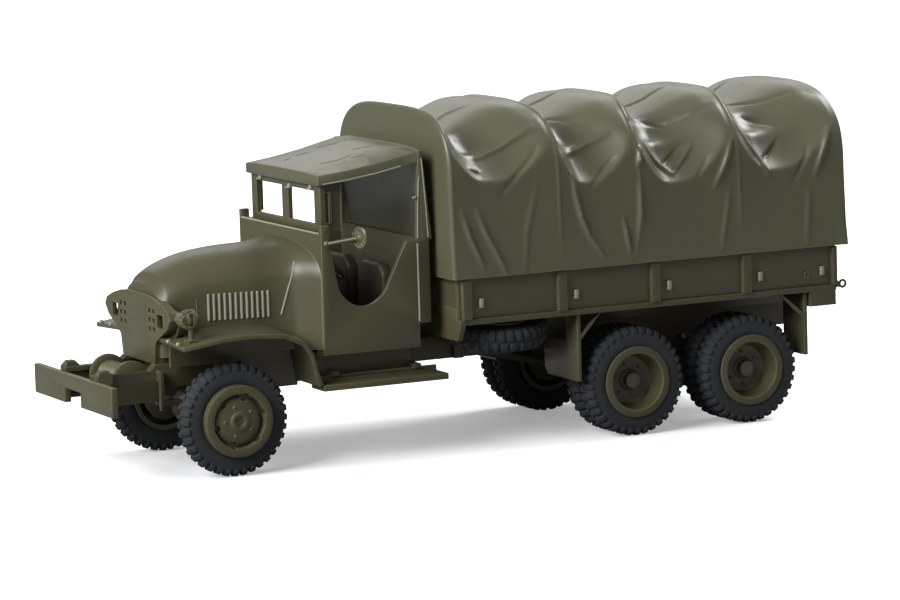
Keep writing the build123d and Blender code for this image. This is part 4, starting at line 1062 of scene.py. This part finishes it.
def soft_row(x):
    """Half width, side top and crown of the nose at one place, as a smooth curve through its rows."""
    rows = np.array(NOSE_ROWS)
    index = max(i for i, row in enumerate(rows[:-1]) if x <= row[0] + 1e-6)
    run = rows[index][0] - rows[index + 1][0]
    slopes = []
    for i in (index, index + 1):
        before, after = rows[max(i - 1, 0)], rows[min(i + 1, len(rows) - 1)]
        slopes.append((after - before) / (before[0] - after[0]) * run)
    share = (rows[index][0] - x) / run
    square, cube = share ** 2, share ** 3
    row = (rows[index] * (2 * cube - 3 * square + 1) + slopes[0] * (cube - 2 * square + share)
           + rows[index + 1] * (3 * square - 2 * cube) + slopes[1] * (cube - square))
    return row[1:]


def nose_line(x, inset):
    """Half outline across the nose from its foot to its crown, moved in by a rounding."""
    half, side_top, crown = soft_row(x)
    half, crown = half - inset, crown - inset
    line = [(half, NOSE_FOOT + (side_top - NOSE_FOOT) * step / SIDE_STEPS) for step in range(SIDE_STEPS)]
    for step in range(SHOULDER_STEPS):
        turn = math.pi / 2 * step / SHOULDER_STEPS
        line.append((half * math.cos(turn) ** (2 / SHOULDER_POWER),
                     side_top + (crown - side_top) * math.sin(turn) ** (2 / SHOULDER_POWER)))
    return line + [(0.0, crown)]


def make_nose():
    """The hood and cowl: a grid laid over the nose's rows, closed at its ends and underneath."""
    foremost, rear = NOSE_ROWS[0][0], NOSE_ROWS[-1][0]
    front = foremost + NOSE_EDGE
    rows = [(front - back, NOSE_EDGE * share) for back, share in EDGE_STEPS]
    rows += [(x, 0.0) for x in np.linspace(front - NOSE_EDGE, rear, NOSE_STEPS)]
    places = []
    for x, inset in rows:
        left = [(ahead(x), y, z) for y, z in nose_line(min(x, foremost), inset)]
        places.append(left + [(place, -y, z) for place, y, z in left[-2::-1]])
    piece = laid_grid("nose_shell", np.array(places))
    edit(piece, "EDGE")
    bpy.ops.mesh.select_non_manifold(extend=False)
    drawn_out((0, 0, 0))
    middle = spot((front + rear) / 2, 0, NOSE_FOOT)
    bpy.ops.transform.resize(value=(1, 1, 0), center_override=middle)
    weld(0.001)
    select_all(False)
    bpy.ops.mesh.select_non_manifold(extend=False)
    bpy.ops.mesh.edge_face_add()
    face_out()
    return close(piece)


class TRUCK_OT_hood(bpy.types.Operator):
    """Models the hood and cowl with the rounded louvres, the seam and the panel line"""

    bl_idname = "truck.hood"
    bl_label = "Hood"

    def execute(self, context):
        mould("radiator_shell", "radiator", tidy=False)
        settle(make_nose(), "olive_body", "hood", "cowl", smooth=50)
        floor = node_box("cowl")[0].z
        # The plate under the cowl is painted dark as the shade there
        settle(block("firewall", spot(-9.32, -8.9, floor), spot(-9.0, 8.9, NOSE_FOOT)), "shade_olive")
        # The louvres and the hood seams are painted paler as a highlight
        for side, word in SIDES:
            ribs = []
            for index in range(LOUVRE_COUNT):
                x = LOUVRE_FIRST + index * LOUVRE_STEP
                bottom, top = (spot(x, side * (soft_row(x)[0] + 0.02), z) for z in LOUVRE_Z)
                ribs.append(rod("rib", bottom, top, 0.135, 10, 0.1))
            settle(joined(f"louvres_{word}", ribs))
            seam = []
            for x, z in SEAM_LINE:
                reach, heights = zip(*nose_line(x, 0.0))
                seam.append(spot(x, side * (float(np.interp(z, heights, reach)) + 0.01), z))
            settle(bead(f"hood_seam_{word}", seam, 0.1))
            reach = side * soft_row(PANEL_LINE_X)[0]
            panel = [spot(PANEL_LINE_X, reach, z) for z in PANEL_LINE_Z]
            settle(bead(f"panel_line_{word}", panel, 0.05), "olive_body")
        return {"FINISHED"}


class TRUCK_OT_fenders(bpy.types.Operator):
    """Softens the fenders and adds the bolts at their front edges"""

    bl_idname = "truck.fenders"
    bl_label = "Fenders"

    def execute(self, context):
        bolts = []
        for side, word in SIDES:
            mould(f"fender_shell_{word}", f"fender_{word}", share=1.3, tidy=False)
            for y in (9.6, 7.2):
                back, front = (spot(x, side * y, 12.9) for x in (5.25, 5.67))
                bolts.append(rod("bolt", back, front, 0.2, 14, 0.1))
        # The bolts are painted paler as a highlight
        settle(joined("fender_bolts", bolts))
        return {"FINISHED"}


class TRUCK_OT_guard(bpy.types.Operator):
    """Softens the brush guard with its lattice windows"""

    bl_idname = "truck.guard"
    bl_label = "Brush guard"

    def execute(self, context):
        mould("guard_plate", "brush_guard", share=0.7, tidy=False)
        return {"FINISHED"}


# Places of the left headlamp, across and up, and of the lamp in its cage on the left fender
HEADLAMP = (6.25, 14.3)
CAGED_LAMP = (3.4, 9.5, 15.1)
CAGE_BARS = 5
CAGE_R = 0.9


class TRUCK_OT_lamps(bpy.types.Operator):
    """Turns the headlamps and the driving lamp in its cage, and softens the tail lamps"""

    bl_idname = "truck.lamps"
    bl_label = "Lamps"

    def execute(self, context):
        low, high = node_box("headlamps")
        length = high.x - low.x
        bowl = [(0.4, 0.0), (0.6, 0.05), (1.0, 0.5), (1.24, 1.0), (1.3, length - 0.25), (1.3, length - 0.06),
                (1.2, length), (1.1, length), (1.02, length - 0.12), (0.0, length - 0.02)]
        pots = []
        for side, word in SIDES:
            place = Matrix.Translation((low.x, side * HEADLAMP[0], HEADLAMP[1]))
            pots.append(moved(round_body("pot", bowl, 40), place @ turn_by(90, "Y")))
        settle(joined("headlamp_pots", pots), "olive_body", "headlamps")
        x, y, z = spot(*CAGED_LAMP)
        forward = Matrix.Translation((x, y, z)) @ turn_by(90, "Y")
        pot = round_body("cage_pot", [(0.3, 0.0), (0.5, 0.05), (0.72, 0.4), (0.75, 1.1), (0.62, 1.25),
                                      (0.4, 1.36), (0.0, 1.4)], 32)
        parts = [moved(pot, forward)]
        for index in range(CAGE_BARS):
            share = (index - CAGE_BARS // 2) / 2.4
            rise = CAGE_R * math.sqrt(1 - share * share * 0.6)
            arc = []
            for angle in range(-80, 81, 20):
                turn = math.radians(angle)
                arc.append((x + 0.62 + 1.28 * math.cos(turn), y + 0.86 * share, z + rise * math.sin(turn)))
            parts.append(bead("cage_bar", arc, 0.1, 6))
        ring = closed_ring("cage_ring", [(0.82, 0.45), (0.95, 0.45), (0.95, 0.75), (0.82, 0.75)], 32)
        parts.append(moved(ring, forward))
        floor = node_box("caged_lamp")[0].z
        parts.append(rod("cage_post", (x + 0.7, y, floor + 0.02), (x + 0.7, y, z - 0.5), 0.28, 16))
        parts.append(block("cage_pad", (x + 0.2, y - 0.5, floor + 0.02), (x + 1.2, y + 0.5, floor + 0.35)))
        settle(joined("lamp_in_cage", parts), "olive_body", "caged_lamp")
        mould("tail_lamp_boxes", "tail_lamps")
        return {"FINISHED"}


class TRUCK_OT_boards(bpy.types.Operator):
    """Softens the running boards, with a plate up to the cab, and the splash guards"""

    bl_idname = "truck.boards"
    bl_label = "Running boards and splash guards"

    def execute(self, context):
        mould("step_boards", "running_boards", share=1.0)
        for side, word in SIDES:
            y0, y1 = sorted((side * 6.9, side * 7.2))
            riser = block(f"board_riser_{word}", spot(-19.2, y0, 7.7), spot(-9.5, y1, 11.0))
            settle(bevelled(riser), "olive_body")
        mould("splash_plates", "splash_guards")
        return {"FINISHED"}


class TRUCK_OT_cab(bpy.types.Operator):
    """Softens the open cab and adds its ledge, its rear and front ribs, and dark rods painted as the shade in
    the holes of its pillars
    """

    bl_idname = "truck.cab"
    bl_label = "Cab"

    def execute(self, context):
        mould("tub_shell", "cab_tub", share=1.0, tidy=False)
        # The ledge and the rear ribs are painted paler as a highlight
        settle(rod("cab_ledge", spot(-9.32, -9.1, 21.92), spot(-9.32, 9.1, 21.92), 0.1, 8, 0.02))
        for side, word in SIDES:
            y = skin("cab_tub", ahead(-19.45), 18, side)
            settle(rod(f"rear_rib_{word}", spot(-19.25, y, 12.9), spot(-19.25, y, 20.3), 0.1, 8, 0.02))
            corner = [spot(-9.38, side * 9.52, z) for z in (11.2, 20.9)]
            settle(bead(f"front_rib_{word}", corner, 0.09), "olive_body")
            # A dark rod painted as the shade inside each hole of the pillar
            inner, outer = (spot(-9.75, side * y, 22.1) for y in (9.5, 9.63))
            settle(rod(f"pillar_hole_{word}", inner, outer, 0.2, 16, 0.01), "shade_olive")
        return {"FINISHED"}


class TRUCK_OT_windscreen(bpy.types.Operator):
    """Softens the windscreen frame and adds the wiper motors and the left quarter window"""

    bl_idname = "truck.windscreen"
    bl_label = "Windscreen"

    def execute(self, context):
        mould("screen_frame", "windscreen_frame", share=0.9, tidy=False)
        x = node_box("windscreen_frame")[1].x
        heads = []
        for y, z in ((-5.6, 26.05), (1.2, 25.75), (6.1, 26.0)):
            heads.append(rod("wiper", (x - 0.05, y, z), (x + 0.22, y, z), 0.26, 18, 0.12))
            root, tip = (x + 0.1, y - 0.1, z - 0.1), (x + 0.1, y - 0.9, z - 0.25)
            heads.append(rod("wiper_arm", root, tip, 0.08, 8, 0.03))
        # The wiper motors are painted paler as a highlight
        settle(joined("wiper_motors", heads))
        # The quarter window beside the driver is shut by a thin plate; the photo shows none on the right
        stile = block("screen_stile", (x - 0.6, 7.62, 21.95), (x - 0.1, 7.98, 26.7))
        settle(bevelled(stile), "olive_body")
        # The plate in the quarter window is painted dark as shade, and its thin edge paler as a highlight
        settle(block("vent_pane", (x - 2.3, 7.66, 22.0), (x - 0.5, 7.74, 26.5)), "shade_olive")
        settle(bead("vent_frame", [(x - 2.3, 7.7, z) for z in (22.0, 26.5)], 0.16), "olive_body")
        settle(bead("vent_edge", [(x - 1.2, 7.78, z) for z in (22.65, 25.65)], 0.07))
        return {"FINISHED"}


# Lines on the cab's top, all measured forward from the front axle: its left hem in three
# directions, the edges of its rear corner by height, and its creases by the distance from the middle
TOP_HEM = ((-10.2, 8.5, 26.45), (-12.6, 8.76, 26.72), (-15.6, 9.06, 27.2), (-17.9, 9.31, 27.7))
TOP_EDGES = (("panel_edge", ((-19.35, 20.8), (-19.45, 24.0), (-19.65, 26.6))),
             ("corner_edge", ((-20.45, 20.8), (-20.3, 23.5), (-20.1, 26.5), (-19.95, 28.3))))
ROOF_FOLDS = (
    ((-12.2, 3.6), (-13.6, 4.4), (-15.4, 4.2)), ((-13.4, 6.2), (-14.6, 5.4), (-16.2, 5.6)),
    ((-16.4, 2.0), (-17.6, 3.2), (-18.6, 3.0)), ((-11.4, -3.0), (-13.0, -3.8), (-14.2, -3.4)),
    ((-15.6, -4.4), (-17.0, -3.4), (-18.4, -3.8)))
ROOF_FOLD_R = 0.12
ROOF_FOLD_SUNK = 0.07


class TRUCK_OT_soft_top(bpy.types.Operator):
    """Softens the cab's top and adds its moulded creases, hems and hooks"""

    bl_idname = "truck.soft_top"
    bl_label = "Cab top"

    def execute(self, context):
        mould("top_shell", "cab_soft_top", "canvas_cover", 1.4, False, "canvas_plastic")
        creases = []
        for side, word in SIDES:
            creases.append(bead("hem", [spot(x, side * y, z) for x, y, z in TOP_HEM], 0.07))
            y = skin("cab_soft_top", ahead(-19.75), 24, side)
            for name, line in TOP_EDGES:
                creases.append(bead(name, [spot(x, y, z) for x, z in line], 0.07))
            creases.append(rod("hook", spot(-18.95, y, 24.6), spot(-19.3, y, 24.7), 0.12, 8, 0.04))
        # The creases, hems and hooks are painted paler as a highlight
        settle(joined("top_creases", creases), slot="canvas_plastic")
        folds = []
        for line in ROOF_FOLDS:
            places = []
            for x, y in line:
                roof = cad_hit("cab_soft_top", spot(x, y, OUTSIDE), (0, 0, -1)).z / MM
                places.append(spot(x, y, roof - ROOF_FOLD_SUNK))
            folds.append(bead("roof_fold", places, ROOF_FOLD_R))
        settle(joined("roof_folds", folds), "canvas_cover", slot="canvas_plastic", smooth=60)
        return {"FINISHED"}


class TRUCK_OT_seats(bpy.types.Operator):
    """Rounds the two seats"""

    bl_idname = "truck.seats"
    bl_label = "Seats"

    def execute(self, context):
        # The seats are painted dark as the shade inside the cab
        settle(bevelled(cad_copy("seats", "bench_seats"), 0.42, 4), "shade_olive", "seats")
        return {"FINISHED"}


STEERING_CENTRE = (-12.3, 4.3, 18.4)
STEERING_FOOT = (-9.7, 4.3, 16.0)
STEERING_R = 1.95


class TRUCK_OT_steering(bpy.types.Operator):
    """Turns the steering wheel on its column"""

    bl_idname = "truck.steering"
    bl_label = "Steering wheel"

    def execute(self, context):
        centre, foot = spot(*STEERING_CENTRE), spot(*STEERING_FOOT)
        parts = [tube_ring("steering_rim", STEERING_R, 0.16, 48),
                 rod("hub", (0, 0, -0.2), (0, 0, 0.22), 0.42, 20, 0.1)]
        for turn in (0, 2 * math.pi / 3, 4 * math.pi / 3):
            end = (STEERING_R * math.cos(turn), STEERING_R * math.sin(turn), 0)
            parts.append(rod("spoke", (0, 0, 0), end, 0.11, 8))
        wheel = joined("steering_rim", parts)
        moved(wheel, Matrix.Translation(centre) @ facing(centre - foot))
        column = rod("column", foot, centre, 0.22, 16)
        # The steering wheel and its column are painted dark as the shade inside the cab
        settle(joined("steering_rim", [wheel, column]), "shade_olive", "steering_wheel")
        return {"FINISHED"}


MIRROR_CENTRE = (-12.2, 12.0, 21.6)
MIRROR_ROOT = (-9.6, 9.62, 20.95)


class TRUCK_OT_mirror(bpy.types.Operator):
    """Turns the driver's mirror with its ribbed back and its arm"""

    bl_idname = "truck.mirror"
    bl_label = "Driver's mirror"

    def execute(self, context):
        centre, root = spot(*MIRROR_CENTRE), spot(*MIRROR_ROOT)
        plate = round_body("plate", [(0.15, -0.12), (0.3, -0.14), (0.95, -0.12), (1.03, -0.04), (1.03, 0.1),
                                     (0.95, 0.16), (0.84, 0.14), (0.8, 0.04), (0.52, 0.06), (0.46, 0.2),
                                     (0.3, 0.24), (0.2, 0.34), (0.0, 0.38)], 40)
        ribs = ring_of(rod("rib", (0.4, 0, 0.06), (0.86, 0, 0.08), 0.05, 6, 0.02), 12)
        disc = joined("mirror_disc", [plate] + ribs)
        moved(disc, Matrix.Translation(centre) @ facing((1, 0.25, 0)))
        arm = rod("arm", root, centre, 0.2, 14)
        boss = rod("boss", root, root + (centre - root) * 0.12, 0.34, 16, 0.1)
        settle(joined("mirror_disc", [disc, arm, boss]), "olive_body", "mirror")
        return {"FINISHED"}


class TRUCK_OT_bed(bpy.types.Operator):
    """Softens the bed's floor, boards and tailgate"""

    bl_idname = "truck.bed"
    bl_label = "Bed"

    def execute(self, context):
        for piece_name, node in (("floor_planks", "bed_floor"), ("side_boards_left", "bed_side_left"),
                                 ("side_boards_right", "bed_side_right"), ("front_boards", "bed_front_board"),
                                 ("tail_boards", "tailgate")):
            mould(piece_name, node, tidy=False)
        return {"FINISHED"}


# Places of the left tail ring, across and up, and of the left round fitting, along and up
TAIL_RING = (11.8, 12.9)
SIDE_KNOB = (-60.15, 14.2)


class TRUCK_OT_fittings(bpy.types.Operator):
    """Softens the rope cleats, turns the tail rings and adds the round fitting on each side"""

    bl_idname = "truck.fittings"
    bl_label = "Bed fittings"

    def execute(self, context):
        # The cleats are painted paler as a highlight
        mould("cleats", "rope_cleats", "highlight_olive", 1.2)
        low, high = node_box("tail_rings")
        rings = []
        for side, word in SIDES:
            y, z = side * TAIL_RING[0], TAIL_RING[1]
            place = Matrix.Translation((low.x + 0.48, y, z)) @ turn_by(90, "X")
            rings.append(moved(tube_ring("ring", 0.34, 0.13, 28), place))
            eye = block("eye", (low.x + 0.8, y - 0.25, z - 0.3), (high.x, y + 0.25, z + 0.3))
            rings.append(bevelled(eye, 0.05))
        settle(joined("rear_rings", rings), "olive_body", "tail_rings")
        x, z = ahead(SIDE_KNOB[0]), SIDE_KNOB[1]
        y = skin("bed_side_left", x, z)
        for side, word in SIDES:
            knob = closed_ring(f"side_knob_{word}", [(0.12, 0.0), (0.3, 0.0), (0.3, 0.14), (0.12, 0.14)], 20)
            moved(knob, Matrix.Translation((x, side * y, z)) @ turn_by(-90 * side, "X"))
            settle(knob, "olive_body")
        return {"FINISHED"}


class TRUCK_OT_stowage(bpy.types.Operator):
    """Softens the spare wheel's arms, the tank, the silencer and the towing pintle"""

    bl_idname = "truck.stowage"
    bl_label = "Tank, silencer, spare arms and pintle"

    def execute(self, context):
        # The spare's arms, the silencer and the pintle are painted dark as the shade under and behind the
        # truck
        mould("spare_arms", "spare_carrier", "shade_olive")
        mould("tank_shell", "fuel_tank", share=1.5)
        mould("silencer_shell", "silencer", "shade_olive")
        mould("pintle_hook", "tow_pintle", "shade_olive", 0.6)
        return {"FINISHED"}


# Stage

# The photograph's camera: direction it stands in, in degrees, and its distance, aim and lens
CAMERA_TURN = math.radians(25.99)
CAMERA_RISE = math.radians(7.60)
CAMERA_ROLL = math.radians(-1.75)
CAMERA_AWAY = 412.6
CAMERA_AIM = (-27.16, 0.0, 13.2)
CAMERA_LENS = 169.49


def place_camera():
    """The camera at the photograph's viewing angle."""
    out = Vector((math.sin(CAMERA_TURN) * math.cos(CAMERA_RISE),
                  math.cos(CAMERA_TURN) * math.cos(CAMERA_RISE), math.sin(CAMERA_RISE)))
    right = (-out).cross(Vector((0, 0, 1))).normalized()
    up = right.cross(-out)
    rolled_right = right * math.cos(CAMERA_ROLL) + up * math.sin(CAMERA_ROLL)
    rolled_up = up * math.cos(CAMERA_ROLL) - right * math.sin(CAMERA_ROLL)
    turn = Matrix((rolled_right, rolled_up, out)).transposed().to_4x4()
    bpy.ops.object.camera_add()
    camera = added("photo_camera")
    camera.data.sensor_width = 36
    camera.data.lens = CAMERA_LENS
    camera.data.clip_start = 10 * MM
    camera.data.clip_end = 5000 * MM
    camera.matrix_world = Matrix.Translation((spot(*CAMERA_AIM) + out * CAMERA_AWAY) * MM) @ turn
    bpy.context.scene.camera = camera


def softbox(name, place, width, height, power):
    """A flat studio lamp turned to what the camera sees, in millimetres and watts."""
    bpy.ops.object.light_add(type="AREA")
    lamp = added(name)
    lamp.data.shape = "RECTANGLE"
    lamp.data.size = width * MM
    lamp.data.size_y = height * MM
    lamp.data.energy = power
    away = Vector(place) - spot(*CAMERA_AIM)
    lamp.matrix_world = Matrix.Translation(Vector(place) * MM) @ facing(away)


def studio_world(sky, mirrored):
    """A room that is white to the camera, softer in reflections and softer still on matt faces."""
    world = bpy.data.worlds.new("white_room")
    bpy.context.scene.world = world
    world.use_nodes = True
    tree = world.node_tree
    tree.nodes.clear()
    path = shader_node(tree, "LightPath", {})
    shown, glossy, clear = (
        shader_node(tree, "Background", {"Color": (1, 1, 1, 1), "Strength": strength}).outputs[0]
        for strength in (sky, mirrored, 1.0))
    for ray, room in (("Is Glossy Ray", glossy), ("Is Camera Ray", clear)):
        shown = shader_node(tree, "MixShader", {0: path.outputs[ray], 1: shown, 2: room}).outputs[0]
    shader_node(tree, "OutputWorld", {"Surface": shown})


def paper_floor():
    """A pale floor that keeps the truck's soft shadow and fades into the white room."""
    bpy.ops.mesh.primitive_plane_add(size=1)
    floor = added("paper_floor")
    floor.scale = (4000 * MM, 4000 * MM, 1)
    applied(floor)
    material = bpy.data.materials.new("white_paper")
    material.use_nodes = True
    tree = material.node_tree
    paper = tree.nodes["Principled BSDF"]
    feed(tree, paper, {"Base Color": (0.86, 0.87, 0.88, 1), "Roughness": 0.9, "Specular IOR Level": 0.2})
    where = shader_node(tree, "TexCoord", {})
    away = shader_node(tree, "VectorMath", {0: where.outputs["Object"]}, operation="LENGTH")
    fade = shader_node(tree, "MapRange", {"Value": away.outputs["Value"], "From Min": 55 * MM,
                                          "From Max": 140 * MM, "To Min": 0.32})
    glow = shader_node(tree, "Emission", {"Strength": fade.outputs["Result"]})
    both = shader_node(tree, "AddShader", {0: paper.outputs[0], 1: glow.outputs[0]})
    bounce = shader_node(tree, "BsdfDiffuse", {"Color": (0.3, 0.3, 0.3, 1)})
    path = shader_node(tree, "LightPath", {})
    seen = shader_node(tree, "MixShader", {0: path.outputs["Is Camera Ray"], 1: bounce.outputs[0],
                                           2: both.outputs[0]})
    feed(tree, tree.nodes["Material Output"], {"Surface": seen.outputs[0]})
    floor.data.materials.append(material)


class TRUCK_OT_studio(bpy.types.Operator):
    """Sets the camera, the soft lamps, the white room and the floor"""

    bl_idname = "truck.studio"
    bl_label = "Studio"

    def execute(self, context):
        only()
        place_camera()
        look = finish()
        softbox("key_box", (300, 90, 200), 240, 200, look.key)
        softbox("top_box", (-215, -50, 235), 170, 150, look.top)
        softbox("back_box", (-160, -340, 190), 420, 150, look.back)
        studio_world(look.sky, look.mirrored)
        paper_floor()
        context.scene.view_settings.view_transform = "Standard"
        return {"FINISHED"}


STEPS = (TRUCK_OT_finishes, TRUCK_OT_cover, TRUCK_OT_tyres, TRUCK_OT_rims, TRUCK_OT_bumper,
         TRUCK_OT_frame, TRUCK_OT_running_gear, TRUCK_OT_winch, TRUCK_OT_hood, TRUCK_OT_fenders,
         TRUCK_OT_guard, TRUCK_OT_lamps, TRUCK_OT_boards, TRUCK_OT_cab, TRUCK_OT_windscreen,
         TRUCK_OT_soft_top, TRUCK_OT_seats, TRUCK_OT_steering, TRUCK_OT_mirror, TRUCK_OT_bed,
         TRUCK_OT_fittings, TRUCK_OT_stowage, TRUCK_OT_studio)


class TRUCK_PT_panel(bpy.types.Panel):
    """The truck's pieces in the order in which they are made"""

    bl_label = "Moulded truck"
    bl_idname = "TRUCK_PT_panel"
    bl_space_type = "VIEW_3D"
    bl_region_type = "UI"
    bl_category = "Truck"

    def draw(self, context):
        for step in STEPS:
            self.layout.operator(step.bl_idname)
        for group in (context.scene.truck_sizes, context.scene.truck_finish):
            box = self.layout.box()
            for name in group.__annotations__:
                box.prop(group, name)


CLASSES = (TruckSizes, TruckFinish, *STEPS, TRUCK_PT_panel)


def register():
    """Adds the panel, the operators and the settings."""
    for each in CLASSES:
        bpy.utils.register_class(each)
    bpy.types.Scene.truck_sizes = bpy.props.PointerProperty(type=TruckSizes)
    bpy.types.Scene.truck_finish = bpy.props.PointerProperty(type=TruckFinish)


def unregister():
    """Takes them away again."""
    del bpy.types.Scene.truck_finish
    del bpy.types.Scene.truck_sizes
    for each in reversed(CLASSES):
        bpy.utils.unregister_class(each)


def main():
    """Makes the whole truck."""
    register()
    for step in STEPS:
        getattr(bpy.ops.truck, step.bl_idname.split(".")[1])()


if __name__ == "__main__":
    main()
